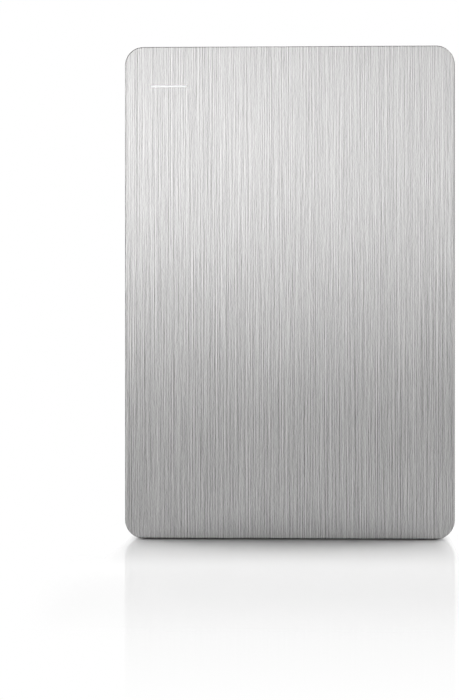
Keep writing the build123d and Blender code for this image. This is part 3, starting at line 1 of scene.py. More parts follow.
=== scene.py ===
# %% [markdown]
# # A portable hard drive, dressed in Blender
# The frame is the imported model of a slim portable drive that stands on its lower end: a brushed metal
# cover on a black moulded case, with a disk drive, its rubber bumpers and a small board inside.
# Every solid is already in its place, in metres. This lesson gives each one its finish, adds the wound,
# threaded and bent pieces that a solid model leaves plain, and lights the whole as in a small photo
# studio.

# %% Load the frame
import bmesh
import bpy
import json
import math
import numpy as np
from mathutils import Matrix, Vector


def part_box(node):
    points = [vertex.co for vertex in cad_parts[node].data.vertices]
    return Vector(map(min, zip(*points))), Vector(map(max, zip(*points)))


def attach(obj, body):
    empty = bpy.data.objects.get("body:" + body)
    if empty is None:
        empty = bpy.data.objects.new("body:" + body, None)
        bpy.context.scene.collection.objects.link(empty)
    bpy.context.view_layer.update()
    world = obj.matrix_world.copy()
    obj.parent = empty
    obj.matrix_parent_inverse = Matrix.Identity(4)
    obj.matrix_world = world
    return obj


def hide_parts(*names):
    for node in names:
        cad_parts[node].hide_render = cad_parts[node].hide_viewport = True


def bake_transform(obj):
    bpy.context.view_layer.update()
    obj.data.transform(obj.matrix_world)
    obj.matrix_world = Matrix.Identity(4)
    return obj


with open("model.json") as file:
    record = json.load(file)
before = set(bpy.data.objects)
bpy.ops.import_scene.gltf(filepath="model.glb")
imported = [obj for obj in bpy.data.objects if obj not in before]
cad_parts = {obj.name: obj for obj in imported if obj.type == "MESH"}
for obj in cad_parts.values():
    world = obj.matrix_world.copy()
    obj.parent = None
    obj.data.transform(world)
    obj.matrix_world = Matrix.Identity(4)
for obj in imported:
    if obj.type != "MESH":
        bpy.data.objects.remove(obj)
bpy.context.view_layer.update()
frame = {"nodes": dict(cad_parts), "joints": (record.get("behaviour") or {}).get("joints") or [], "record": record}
MM = 0.001
SLOT_OF = {piece["node"]: piece["material_slot"] for piece in frame["record"]["subparts"]}
AXIS_OF = {joint["name"]: joint["pos_m"] for joint in frame["joints"]}

# %% [markdown]
# ## Camera
# The photograph looks at the drive almost square on, from low down and a little to the right, so the
# right edge is slightly taller than the left one. A level camera keeps upright edges upright. Its
# distance and turn follow from how much taller the right edge is, and its lens from the drive's height
# in pixels, so the camera is worked out from a few measured pixels instead of being tried by hand.

# %% Camera
PICTURE = (459, 700)
FACE_LEFT, FACE_RIGHT = 125.1, 453.5
FACE_TOP, FACE_BOTTOM = 46.1, 539.0
CAMERA_DISTANCE = 600 * MM
CAMERA_TURN = math.radians(2.6)
SENSOR = 36.0


def place_camera():
    """A level camera: pixels per metre on the face give the lens, and the picture's middle its place."""
    low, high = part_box("rear_case")
    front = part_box("front_cover")[0].y
    pixels_per_metre = (FACE_BOTTOM - FACE_TOP) / (high.z - low.z)
    aim_x = (PICTURE[0] / 2 - (FACE_LEFT + FACE_RIGHT) / 2) / pixels_per_metre
    aim_z = (FACE_BOTTOM - PICTURE[1] / 2) / pixels_per_metre
    back = Vector((math.sin(CAMERA_TURN), -math.cos(CAMERA_TURN), 0))
    camera = bpy.data.objects.new("camera", bpy.data.cameras.new("camera"))
    camera.data.sensor_width = SENSOR
    camera.data.lens = SENSOR * CAMERA_DISTANCE * pixels_per_metre / PICTURE[1]
    camera.location = Vector((aim_x, front, aim_z)) + back * CAMERA_DISTANCE
    camera.rotation_euler = (math.pi / 2, 0, CAMERA_TURN)
    bpy.context.scene.collection.objects.link(camera)
    bpy.context.scene.camera = camera
    return camera


camera = place_camera()
print("camera at", [round(c, 3) for c in camera.location], "lens", round(camera.data.lens, 1))

# %% [markdown]
# ## Building finishes from nodes
# A finish is a Principled shader whose colour, roughness and relief come from noise on Object
# coordinates, so it stays put when a piece moves and needs no picture. Noise is given as the size of
# one grain in millimetres in each direction: a long thin grain is a brush mark, a round one a mould's
# texture. Noise seldom leaves the middle of its range, so that middle is stretched before it's used.
# A Mix node has its own sockets for each kind of value, so they are picked by number. One small class
# keeps the wiring out of the way, and the finished materials are kept under the names of the frame's
# material slots.

# %% Finish helper
FINISHES = {}
NOISE_LOW, NOISE_MIDDLE, NOISE_HIGH = 0.3, 0.5, 0.7
MIX_FACTOR = 0
MIX_NUMBER_A, MIX_NUMBER_B = 2, 3
MIX_COLOUR_A, MIX_COLOUR_B, MIX_COLOUR_OUT = 6, 7, 2


class Finish:
    """A node material that starts from Object coordinates and ends in a Principled shader."""

    def __init__(self, name, **values):
        self.material = bpy.data.materials.new(name)
        self.material.use_nodes = True
        self.tree = self.material.node_tree
        self.shader = self.tree.nodes["Principled BSDF"]
        self.place = self.node("TexCoord").outputs["Object"]
        self.set(**values)

    def node(self, kind, inputs=(), **settings):
        """A new node with its settings, and with values or links on its numbered or named inputs."""
        made = self.tree.nodes.new("ShaderNode" + kind)
        for name, value in settings.items():
            setattr(made, name, value)
        for name, value in dict(inputs).items():
            self.feed(made.inputs[name], value)
        return made

    def feed(self, socket, value):
        """Links an output to a socket, or sets the socket's own value."""
        if isinstance(value, bpy.types.NodeSocket):
            self.tree.links.new(value, socket)
        else:
            socket.default_value = value

    def set(self, **values):
        """Feeds the shader's sockets, named in words joined by underscores."""
        names = {socket.name.lower().replace(" ", "_"): socket for socket in self.shader.inputs}
        for name, value in values.items():
            is_colour = isinstance(value, (tuple, list)) and len(value) == 3
            self.feed(names[name], (*value, 1) if is_colour else value)
        return self

    def math(self, operation, first, second=0.0):
        """One sum on numbers."""
        return self.node("Math", {0: first, 1: second}, operation=operation).outputs[0]

    def axes(self, centre=(0, 0, 0)):
        """Object X, Y and Z, measured from a centre."""
        place = self.node("VectorMath", {0: self.place, 1: centre}, operation="SUBTRACT").outputs[0]
        return self.node("SeparateXYZ", {0: place}).outputs

    def grain(self, size, detail=2.0, softness=0.5):
        """Noise between 0 and 1, with grains of this size in millimetres along x, y and z."""
        scale = [1 / (length * MM) for length in size]
        place = self.node("Mapping", {"Vector": self.place, "Scale": scale}).outputs[0]
        inputs = {"Vector": place, "Scale": 1.0, "Detail": detail, "Roughness": softness}
        return self.node("TexNoise", inputs).outputs["Fac"]

    def cells(self, size, feature="F1", distance="EUCLIDEAN"):
        """Distance within cells of this size in millimetres: 0 at a cell's seed."""
        inputs = {0: self.place, "Scale": 1 / (size * MM)}
        place = self.node("VectorMath", inputs, operation="SCALE").outputs[0]
        texture = self.node("TexVoronoi", {"Vector": place, "Scale": 1.0}, feature=feature)
        if feature == "F1":
            texture.distance = distance
        return texture.outputs["Distance"]

    def spread(self, factor, low, high, start=NOISE_LOW, end=NOISE_HIGH, ends="LINEAR"):
        """Stretches a factor between start and end over the range from low to high."""
        inputs = {"Value": factor, "From Min": start, "From Max": end, "To Min": low, "To Max": high}
        return self.node("MapRange", inputs, interpolation_type=ends).outputs[0]

    def mix(self, first, second, share=0.5):
        """A number between two numbers."""
        inputs = {MIX_FACTOR: share, MIX_NUMBER_A: first, MIX_NUMBER_B: second}
        return self.node("Mix", inputs).outputs[0]

    def tint(self, factor, dark, light):
        """A colour between two colours."""
        inputs = {MIX_FACTOR: factor, MIX_COLOUR_A: (*dark, 1), MIX_COLOUR_B: (*light, 1)}
        return self.node("Mix", inputs, data_type="RGBA").outputs[MIX_COLOUR_OUT]

    def relief(self, height, depth):
        """Raises the surface by up to this many millimetres where the noise is high."""
        bump = self.node("Bump", {"Height": height, "Distance": depth * MM, "Strength": 1.0})
        return self.set(normal=bump.outputs[0])


def shade(colour, factor):
    """A colour made lighter or darker by a factor."""
    return tuple(min(1.0, channel * factor) for channel in colour)


def make_finishes(recipe, table):
    """One finish from a recipe for each slot of a table of the recipe's values."""
    for slot, values in table.items():
        FINISHES[slot] = recipe(slot, *values)
    print(recipe.__name__, "made", ", ".join(table))


print("slots that need a finish:", len(set(SLOT_OF.values())))

# %% [markdown]
# ## The brushed cover
# The front is aluminium sheet, drawn through fine abrasive from top to bottom and then anodised. Each
# grain of the abrasive ploughs a groove, long along Z and as narrow as a hair, and throws up a burr
# beside it. Smooth noise would blur neighbouring grooves into bands, so the face is cut into narrow
# strips, each strip reads its own line of noise, and a strip's grey is its own line less its
# neighbour's. The grain's contrast is painted lower towards the top, where the highlight washes it
# out, and higher towards the foot: a painted highlight. Grooves scatter light sideways much more than
# lengthwise, so the shader is anisotropic, with its tangent running round Z.

# %% Brushed cover
COVER_GREY = (0.380, 0.377, 0.376)
GROOVE_WIDTH, GROOVE_LENGTH = 0.18, 70.0
GROOVE_DETAIL, GROOVE_ROUGHNESS = 7.0, 0.85
STRIP_STEP = 7.31
BURR_SHARE = 0.62
GREY_SWING = 0.22
# grain contrast at the foot and at the top; painted highlight: lower at the top, where the highlight washes the
# grain out
FOOT_GRAIN_CONTRAST, LIT_TOP_GRAIN_CONTRAST = 1.14, 0.74
DARKEST, LIGHTEST = 0.40, 1.60
ROUGHEST, SMOOTHEST = 0.47, 0.44
ANISOTROPY = 0.85
FINE_GROOVE, FINE_DEPTH = (0.12, 0.12, 9.0), 0.0015


def groove_line(finish, strip, along):
    """Noise along one strip: a large step across makes each strip's line its own."""
    apart = finish.math("MULTIPLY", strip, STRIP_STEP)
    place = finish.node("CombineXYZ", {0: apart, 1: along}).outputs[0]
    inputs = {"Vector": place, "Scale": 1.0, "Detail": GROOVE_DETAIL, "Roughness": GROOVE_ROUGHNESS}
    return finish.node("TexNoise", inputs, noise_dimensions="2D").outputs["Fac"]


def brushed_cover_finish(name):
    """Strip = X + Y over a groove's width, rounded down; grey = (own line less the next) times a contrast that
    fades towards the top: painted highlight.
    """
    finish = Finish(name, metallic=1.0, anisotropic=ANISOTROPY)
    axes = finish.axes()
    across = finish.math("ADD", axes["X"], axes["Y"])
    strip = finish.math("FLOOR", finish.math("DIVIDE", across, GROOVE_WIDTH * MM))
    along = finish.math("DIVIDE", axes["Z"], GROOVE_LENGTH * MM)
    groove = groove_line(finish, strip, along)
    burr = groove_line(finish, finish.math("ADD", strip, 1.0), along)
    rise = finish.math("SUBTRACT", groove, finish.math("MULTIPLY", burr, BURR_SHARE))
    swing = finish.math("SUBTRACT", rise, NOISE_MIDDLE * (1 - BURR_SHARE))
    foot, top = (corner.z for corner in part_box("front_cover"))
    # painted highlight: the grain's contrast fades towards the top, where the highlight washes it out
    highlight_washout = finish.spread(axes["Z"], FOOT_GRAIN_CONTRAST, LIT_TOP_GRAIN_CONTRAST, foot, top)
    light = finish.spread(finish.math("MULTIPLY", swing, highlight_washout), 0.0, 1.0, -GREY_SWING, GREY_SWING)
    finish.set(base_color=finish.tint(light, shade(COVER_GREY, DARKEST), shade(COVER_GREY, LIGHTEST)))
    finish.set(roughness=finish.spread(light, ROUGHEST, SMOOTHEST, 0.0, 1.0))
    finish.set(tangent=finish.node("Tangent", direction_type="RADIAL", axis="Z").outputs[0])
    return finish.relief(finish.grain(FINE_GROOVE), FINE_DEPTH).material


make_finishes(brushed_cover_finish, {"brushed_cover": ()})

# %% [markdown]
# ## Moulded and pressed plastics
# The case comes out of a steel mould whose walls were etched, so its black plastic has a fine, even
# pebble that breaks up reflections. Connector bodies, chips, ceramic parts and the ramp share the
# recipe with a finer pebble, because they are moulded or pressed from grains too.

# %% Moulded finishes
BLACK, GREY, IVORY = (0.020, 0.020, 0.021), (0.045, 0.045, 0.047), (0.74, 0.71, 0.63)
CERAMIC_BROWN, CERAMIC_GREY = (0.36, 0.25, 0.15), (0.06, 0.06, 0.07)
SLOW_PATCH, PEBBLE_SHARE = (9.0, 9.0, 9.0), 0.55
MOULDED_DARK, MOULDED_LIGHT = 0.55, 1.5
MOULDED_SMOOTHER, MOULDED_ROUGHER = 0.08, 0.10


def moulded_finish(name, colour, pebble, rough, depth):
    """Roughness and relief share one fine noise; a slow noise shifts the colour slightly."""
    finish = Finish(name)
    fine = finish.grain((pebble,) * 3)
    patch = finish.mix(finish.grain(SLOW_PATCH), fine, PEBBLE_SHARE)
    finish.set(base_color=finish.tint(patch, shade(colour, MOULDED_DARK), shade(colour, MOULDED_LIGHT)))
    finish.set(roughness=finish.spread(fine, rough - MOULDED_SMOOTHER, rough + MOULDED_ROUGHER))
    return finish.relief(fine, depth).material


# slot: colour, pebble in mm, roughness, relief in mm
make_finishes(moulded_finish, {
    "case_plastic": (BLACK, 0.34, 0.50, 0.012),
    "frame_plastic": (GREY, 0.25, 0.52, 0.012),
    "connector_resin": (BLACK, 0.12, 0.42, 0.004),
    "ramp_resin": (IVORY, 0.15, 0.40, 0.003),
    "chip_resin": (BLACK, 0.09, 0.62, 0.006),
    "choke_ferrite": (GREY, 0.12, 0.75, 0.010),
    "capacitor_ceramic": (CERAMIC_BROWN, 0.10, 0.45, 0.003),
    "head_ceramic": (CERAMIC_GREY, 0.05, 0.25, 0.001),
})

# %% [markdown]
# ## Light pipe and lamp
# The slit glows white while the drive works: a small lamp on the board shines into a milky bar that
# ends in the cover. A little emission makes both glow without lighting up the room.

# %% Glowing finishes
MILK_DARK, MILK_LIGHT = (0.90, 0.91, 0.93), (0.97, 0.97, 0.98)
LAMP_DARK, LAMP_LIGHT = (0.86, 0.80, 0.55), (0.95, 0.93, 0.80)
MILK_ROUGHNESS, MILK_IOR = 0.35, 1.49


def glowing_finish(name, dark, light, glow, cloud):
    """A milky body whose colour and glow share one cloudy noise."""
    finish = Finish(name, roughness=MILK_ROUGHNESS, ior=MILK_IOR, emission_strength=glow)
    milk = finish.tint(finish.spread(finish.grain((cloud,) * 3), 0.0, 1.0), dark, light)
    return finish.set(base_color=milk, emission_color=milk).material


# slot: dark, light, strength of the glow, cloud in mm
make_finishes(glowing_finish, {
    "light_pipe_plastic": (MILK_DARK, MILK_LIGHT, 0.64, 1.6),
    "lamp_resin": (LAMP_DARK, LAMP_LIGHT, 1.0, 0.3),
})

# %% [markdown]
# ## Rubber, felt and film
# The bumpers are soft rubber with a dusty bloom, which sheen gives. Filters and bonding film are mats
# of fibre: two long grains crossed at right angles look like fibres that lie both ways.

# %% Soft finishes
FELT_WHITE, FILM_WHITE = (0.80, 0.79, 0.75), (0.70, 0.69, 0.64)
RUBBER = {"sheen_weight": 0.25, "sheen_roughness": 0.5, "roughness": 0.8}
RUBBER_PATCH, RUBBER_DARK, RUBBER_LIGHT = (5.0, 5.0, 5.0), 0.7, 1.5
FIBRE = {"sheen_weight": 0.3, "sheen_roughness": 0.4, "roughness": 0.9}
FIBRE_STRETCH, FIBRE_DARK = 14, 0.7
PORE_DEPTH, FIBRE_DEPTH = 0.02, 0.03


def rubber_finish(name, colour, pore):
    """Round pores: dark where a cell's seed is near, with the same cells as relief."""
    finish = Finish(name, **RUBBER)
    pores = finish.cells(pore)
    patch = finish.mix(pores, finish.grain(RUBBER_PATCH))
    finish.set(base_color=finish.tint(patch, shade(colour, RUBBER_DARK), shade(colour, RUBBER_LIGHT)))
    return finish.relief(pores, PORE_DEPTH).material


def fibre_finish(name, colour, fibre):
    """The lighter of two noises, one stretched along X and one along Z."""
    finish = Finish(name, **FIBRE)
    level = finish.grain((fibre * FIBRE_STRETCH, fibre, fibre))
    upright = finish.grain((fibre, fibre, fibre * FIBRE_STRETCH))
    lay = finish.math("MAXIMUM", level, upright)
    finish.set(base_color=finish.tint(finish.spread(lay, 0.0, 1.0), shade(colour, FIBRE_DARK), colour))
    return finish.relief(lay, FIBRE_DEPTH).material


# slot: colour, pore or fibre in mm
make_finishes(rubber_finish, {"bumper_rubber": (GREY, 0.35), "gasket_rubber": (BLACK, 0.15)})
make_finishes(fibre_finish, {"filter_felt": (FELT_WHITE, 0.05), "bonding_film": (FILM_WHITE, 0.12)})

# %% [markdown]
# ## Circuit boards
# A board is glass cloth under a green lacquer. Copper tracks underneath show as paler lines that run
# square to each other. Cells measured by their longest side have square borders, so their rims make a
# believable track pattern at no cost.

# %% Board finish
LACQUER_DARK, LACQUER_LIGHT = (0.006, 0.045, 0.020), (0.020, 0.115, 0.050)
LACQUER = {"coat_weight": 0.5, "coat_roughness": 0.12}
LACQUER_SMOOTH, LACQUER_ROUGH = 0.30, 0.48
TRACK_CELL, TRACK_START, TRACK_END = 1.7, 0.40, 0.46
WARP_THREAD, WEFT_THREAD = (0.15, 0.15, 0.6), (0.6, 0.15, 0.15)
WEAVE_SHARE, BOARD_DEPTH = 0.3, 0.02


def laminate_finish(name):
    """Tracks where the square distance in a cell is large; the cloth's weave roughens the lacquer."""
    finish = Finish(name, **LACQUER)
    square = finish.cells(TRACK_CELL, distance="CHEBYCHEV")
    track = finish.spread(square, 0.0, 1.0, TRACK_START, TRACK_END)
    weave = finish.mix(finish.grain(WEFT_THREAD), finish.grain(WARP_THREAD))
    finish.set(base_color=finish.tint(track, LACQUER_DARK, LACQUER_LIGHT))
    finish.set(roughness=finish.spread(weave, LACQUER_SMOOTH, LACQUER_ROUGH))
    return finish.relief(finish.mix(track, weave, WEAVE_SHARE), BOARD_DEPTH).material


make_finishes(laminate_finish, {"board_laminate": ()})

# %% [markdown]
# ## Sheet, cast and plated metals
# Rolled sheet has a faint lengthwise grain, castings a round speckle, and plated parts hardly any. The
# recipe is one noise whose grain has three sizes. Foil adds a crumple of cells.

# %% Metal finishes
STEEL, NICKEL, ALLOY = (0.52, 0.525, 0.53), (0.64, 0.60, 0.53), (0.66, 0.665, 0.67)
COPPER, GOLD, BRONZE = (0.72, 0.31, 0.14), (0.90, 0.65, 0.27), (0.50, 0.32, 0.14)
METAL_DETAIL, METAL_CONTRAST, METAL_DEPTH = 3.0, 0.15, 0.002
METAL_ROUGHER, METAL_SMOOTHER = 0.07, 0.05
CREASE_CELL, CREASE_DEPTH = 2.6, 0.15
FOIL_GRAIN, FOIL_DARK = (1.2, 0.4, 0.1), 0.85
FOIL_SMOOTH, FOIL_ROUGH = 0.22, 0.34


def metal_finish(name, colour, grain_size, rough, contrast=METAL_CONTRAST, depth=METAL_DEPTH):
    """One noise for colour, roughness and relief, about the metal's own values."""
    finish = Finish(name, metallic=1.0)
    grain = finish.grain(grain_size, detail=METAL_DETAIL)
    light = finish.spread(grain, 0.0, 1.0)
    finish.set(base_color=finish.tint(light, shade(colour, 1 - contrast), shade(colour, 1 + contrast)))
    finish.set(roughness=finish.spread(grain, rough + METAL_ROUGHER, rough - METAL_SMOOTHER))
    return finish.relief(grain, depth).material


def foil_finish(name, colour):
    """Flat facets that meet in creases: the relief is the distance to the nearest cell border."""
    finish = Finish(name, metallic=1.0)
    crease = finish.cells(CREASE_CELL, feature="DISTANCE_TO_EDGE")
    grain = finish.grain(FOIL_GRAIN)
    finish.set(base_color=finish.tint(finish.spread(grain, 0.0, 1.0), shade(colour, FOIL_DARK), colour))
    finish.set(roughness=finish.spread(grain, FOIL_SMOOTH, FOIL_ROUGH))
    return finish.relief(crease, CREASE_DEPTH).material


# slot: colour, grain in mm along x, y and z, roughness, and where needed contrast and relief in mm
make_finishes(metal_finish, {
    "can_steel": (STEEL, (0.5, 0.1, 0.1), 0.28),
    "port_steel": (STEEL, (0.08, 0.08, 0.6), 0.26),
    "screw_steel": (shade(STEEL, 0.85), (0.1, 0.1, 0.1), 0.30),
    "lid_steel": (STEEL, (0.15, 0.15, 6.0), 0.34),
    "spring_steel": (STEEL, (0.8, 0.1, 0.1), 0.24),
    "cast_alloy": (shade(ALLOY, 0.8), (0.35, 0.35, 0.35), 0.52, 0.2, 0.012),
    "arm_alloy": (ALLOY, (0.12, 0.12, 0.8), 0.32),
    "bearing_bronze": (BRONZE, (0.1, 0.1, 0.1), 0.40, 0.3),
    "contact_gold": (GOLD, (0.05, 0.05, 0.5), 0.20),
    "magnet_nickel": (NICKEL, (0.4, 0.4, 0.4), 0.22, 0.08),
    "copper_wire": (COPPER, (0.3, 0.3, 0.3), 0.30, 0.2),
})
make_finishes(foil_finish, {"shield_aluminium": (ALLOY,)})

# %% [markdown]
# ## Turned metal and the mirror disk
# Hub, clamp and platter were cut on a lathe, so their marks are rings about the spindle. The distance
# from the spindle's axis, fed to a noise with one dimension, gives rings that turn with the disk.

# %% Turned finishes
SPINDLE = AXIS_OF["spindle_spin"]
MIRROR = (0.72, 0.73, 0.74)
RING_DETAIL = 3.0
LATHE_PATCH, PATCH_SHARE = (8.0, 8.0, 8.0), 0.3
RING_ROUGHNESS, LEAST_ROUGHNESS = 0.05, 0.02


def turned_finish(name, colour, ring, rough, contrast):
    """Rings = noise of the radius about the spindle; a slow noise keeps them from looking drawn."""
    finish = Finish(name, metallic=1.0)
    axes = finish.axes(SPINDLE)
    squares = [finish.math("MULTIPLY", axes[k], axes[k]) for k in ("X", "Z")]
    radius = finish.math("SQRT", finish.math("ADD", *squares))
    inputs = {"W": finish.math("DIVIDE", radius, ring * MM), "Scale": 1.0, "Detail": RING_DETAIL}
    rings = finish.node("TexNoise", inputs, noise_dimensions="1D").outputs["Fac"]
    mark = finish.mix(rings, finish.grain(LATHE_PATCH), PATCH_SHARE)
    light = finish.spread(mark, 0.0, 1.0)
    finish.set(base_color=finish.tint(light, shade(colour, 1 - contrast), shade(colour, 1 + contrast)))
    smooth = max(LEAST_ROUGHNESS, rough - RING_ROUGHNESS)
    finish.set(roughness=finish.spread(mark, rough + RING_ROUGHNESS, smooth))
    return finish.material


# slot: colour, ring in mm, roughness, contrast
make_finishes(turned_finish, {
    "hub_alloy": (ALLOY, 0.14, 0.28, 0.18),
    "platter_mirror": (MIRROR, 0.5, 0.05, 0.03),
})

# %% [markdown]
# ## Stacked sheet and the printed lead
# The stator is a stack of thin steel sheets, and the lead to the heads is amber film with printed
# copper tracks. Stripes across one axis make the sheets and the tracks.

# %% Striped finishes
AMBER, TRACK = (0.30, 0.11, 0.015), (0.55, 0.27, 0.08)
HALF_PITCH = 0.5
STRIPE_START, STRIPE_END = 0.18, 0.30
STRIPE_SMOOTHER, STRIPE_ROUGHER = 0.05, 0.10
STRIPE_DEPTH = 0.01
FLECK, FLECK_SHARE = (0.2, 0.2, 0.2), 0.15


def striped_finish(name, dark, light, axis, pitch, metallic, rough):
    """Stripes = the fraction of an axis over the pitch, softened by a fine noise."""
    finish = Finish(name, metallic=metallic)
    along = finish.math("DIVIDE", finish.axes()[axis], pitch * MM)
    wave = finish.math("PINGPONG", along, HALF_PITCH)
    fine = finish.grain(FLECK)
    stripe = finish.spread(finish.mix(wave, fine, FLECK_SHARE), 0.0, 1.0, STRIPE_START, STRIPE_END)
    finish.set(base_color=finish.tint(stripe, dark, light))
    finish.set(roughness=finish.spread(fine, rough - STRIPE_SMOOTHER, rough + STRIPE_ROUGHER))
    return finish.relief(wave, STRIPE_DEPTH).material


# slot: dark, light, axis across the stripes, pitch in mm, metallic, roughness
make_finishes(striped_finish, {
    "stator_steel": (shade(STEEL, 0.3), STEEL, "Y", 0.2, 1.0, 0.35),
    "flex_film": (AMBER, TRACK, "Y", 0.2, 0.3, 0.35),
})

# %% [markdown]
# ## Dress the nodes
# Every solid takes the finish of its material slot, so pieces of one stuff share one material.

# %% Dress the nodes


def dress(piece, slot):
    """Gives a piece the finish of a slot and nothing else."""
    piece.data.materials.clear()
    piece.data.materials.append(FINISHES[slot])


for name, node in frame["nodes"].items():
    dress(node, SLOT_OF[name])
print("dressed", len(frame["nodes"]), "nodes in", len(FINISHES), "finishes")

# %% [markdown]
# ## A mesh from a grid of points
# Every new piece is a surface with two parameters. numpy works out all its points at once, as an array
# of rows and columns, and this helper joins neighbours with four-sided faces. A direction that comes
# back to its start is closed by joining the last row or column to the first. Rows that shrink to a
# point are merged into one, and the faces of a closed piece are turned outwards. The round floor is the
# simplest grid: rows are rings and columns are spokes. A flat sheet has no outside, so it's checked
# that its faces look up.

# %% Grid helper
MERGE = 1e-8
FLOOR_RINGS = (0.0, 0.25, 0.5, 1.0, 3.0)
FLOOR_SPOKES = 48


def grid_mesh(name, points, close_rows=False, close_columns=False, tidy=True):
    """Faces join each point (row, column) to the next row and column; extra first axes are copies."""
    rows, columns = points.shape[-3:-1]
    index = np.arange(rows * columns).reshape(rows, columns)
    index = np.vstack([index, index[:1]]) if close_rows else index
    index = np.hstack([index, index[:, :1]]) if close_columns else index
    corners = (index[:-1, :-1], index[:-1, 1:], index[1:, 1:], index[1:, :-1])
    faces = np.stack(corners, axis=-1).reshape(1, -1, len(corners))
    copies = np.arange(points.size // (3 * rows * columns)).reshape(-1, 1, 1)
    faces = (faces + copies * rows * columns).reshape(-1, len(corners))
    mesh = bpy.data.meshes.new(name)
    mesh.from_pydata(points.reshape(-1, 3), [], faces.tolist())
    if tidy:
        shell = bmesh.new()
        shell.from_mesh(mesh)
        bmesh.ops.remove_doubles(shell, verts=shell.verts, dist=MERGE)
        bmesh.ops.recalc_face_normals(shell, faces=shell.faces)
        shell.to_mesh(mesh)
        shell.free()
    mesh.polygons.foreach_set("use_smooth", np.ones(len(mesh.polygons), dtype=bool))
    piece = bpy.data.objects.new(name, mesh)
    bpy.context.scene.collection.objects.link(piece)
    return piece


def studio_floor():
    """A disc: points at radius r and angle a are (r cos a, r sin a, 0)."""
    r = np.array(FLOOR_RINGS)[:, None]
    a = np.linspace(0, 2 * np.pi, FLOOR_SPOKES, endpoint=False)[None, :]
    points = np.stack([r * np.cos(a), r * np.sin(a), 0 * r * a], axis=-1)
    floor = grid_mesh("studio_floor", points, close_columns=True)
    if floor.data.polygons[0].normal.z < 0:
        floor.data.flip_normals()
    return floor


floor = studio_floor()
print("the floor has", len(floor.data.polygons), "faces that look up")

# %% [markdown]
# ## Finding the separate solids of a node
# Screws and windings of one kind share a node. To put a detailed piece in each one's place, its solids
# are told apart first: corners at one place get one label, and labels spread along the triangles until
# nothing changes. The detailed piece then takes over from the node: it wears the node's finish, rides on
# its body, and the node is hidden.

# %% Separate solids
PLACE_DIGITS = 6


def separate_solids(node):
    """The points of each separate solid in a node, as a list of arrays."""
    mesh = frame["nodes"][node].data
    points = np.empty(3 * len(mesh.vertices))
    mesh.vertices.foreach_get("co", points)
    places, corner = np.unique(points.reshape(-1, 3).round(PLACE_DIGITS), axis=0, return_inverse=True)
    mesh.calc_loop_triangles()
    triangles = np.empty(3 * len(mesh.loop_triangles), dtype=int)
    mesh.loop_triangles.foreach_get("vertices", triangles)
    triangles = corner.ravel()[triangles].reshape(-1, 3)
    label = np.arange(len(places))
    changed = True
    while changed:
        lowest = np.repeat(label[triangles].min(axis=1), 3)
        spread = label.copy()
        np.minimum.at(spread, triangles.ravel(), lowest)
        changed = not np.array_equal(spread, label)
        label = spread
    return [places[label == value] for value in np.unique(label)]


def replace_node(piece, node, body):
    """The piece stands for a node: it takes the node's place and the finish of its slot, rides on a body, and
    hides the node.
    """
    dress(piece, SLOT_OF[node])
    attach(piece, body)
    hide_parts(node)
    print(piece.name, "replaces", node, "with", len(piece.data.polygons), "faces")


print("lid_screws holds", len(separate_solids("lid_screws")), "screws")

# %% [markdown]
# ## Screws
# In the solid model a screw is a head on a plain pin. The real ones have a six-lobed recess for the
# driver and a thread. Both fit one grid that runs down the screw: the first rows follow the lobes, the
# middle rows the head, and the last rows a radius that falls and rises with a helix, because depth
# along the thread is compared with the angle round it.

# %% Screws
SCREW_COLUMNS = 48
THREAD_ROWS_PER_TURN = 8
THREAD_PITCH, THREAD_DEPTH = 0.35 * MM, 0.10 * MM
LOBES, LOBE_SWING = 6, 0.16
RECESS_SHARE, RECESS_FOOT, RECESS_RIM = 0.48, 0.85, 1.06
RECESS_LIP = 0.15
RECESS_DEPTH_SHARE, RECESS_DEPTH_MOST = 0.6, 0.4 * MM
EDGE_SHARE = 0.12
TIP_START, TIP_SHARE = 0.9, 0.45


def screw_grid(head_radius, head_height, head_foot, shank_radius, length, recess_depth):
    """Rows of (radius, depth): recess, rounded head down to its foot radius, thread and tip."""
    a = np.linspace(0, 2 * np.pi, SCREW_COLUMNS, endpoint=False)[None, :]
    lobes = 1 + LOBE_SWING * np.cos(LOBES * a)
    recess = head_radius * RECESS_SHARE
    edge = EDGE_SHARE * head_height
    star = [(0.0, recess_depth), (RECESS_FOOT * recess, recess_depth),
            (recess, RECESS_LIP * recess_depth)]
    head = [(RECESS_RIM * recess, 0.0), (head_radius - edge, 0.0), (head_radius, edge),
            (head_foot, head_height), (shank_radius, head_height)]
    star, head = np.array(star)[:, :, None], np.array(head)[:, :, None]
    turns = (length - head_height) / THREAD_PITCH
    s = np.linspace(0, 1, int(turns * THREAD_ROWS_PER_TURN))[1:, None]
    groove = np.abs(((s * turns - a / (2 * np.pi)) % 1.0) * 2 - 1)
    fade = np.minimum(1, s * turns)
    thread = shank_radius - THREAD_DEPTH * groove * fade
    taper = np.clip((s - TIP_START) / (1 - TIP_START), 0, 1) * (1 - TIP_SHARE)
    rows_radius = [star[:, 0] * lobes, head[:, 0] + 0 * a, thread * (1 - taper), 0 * a]
    thread_depth = head_height + s * (length - head_height)
    rows_depth = [star[:, 1] + 0 * a, head[:, 1] + 0 * a, thread_depth + 0 * a, length + 0 * a]
    return np.vstack(rows_radius), np.vstack(rows_depth), a


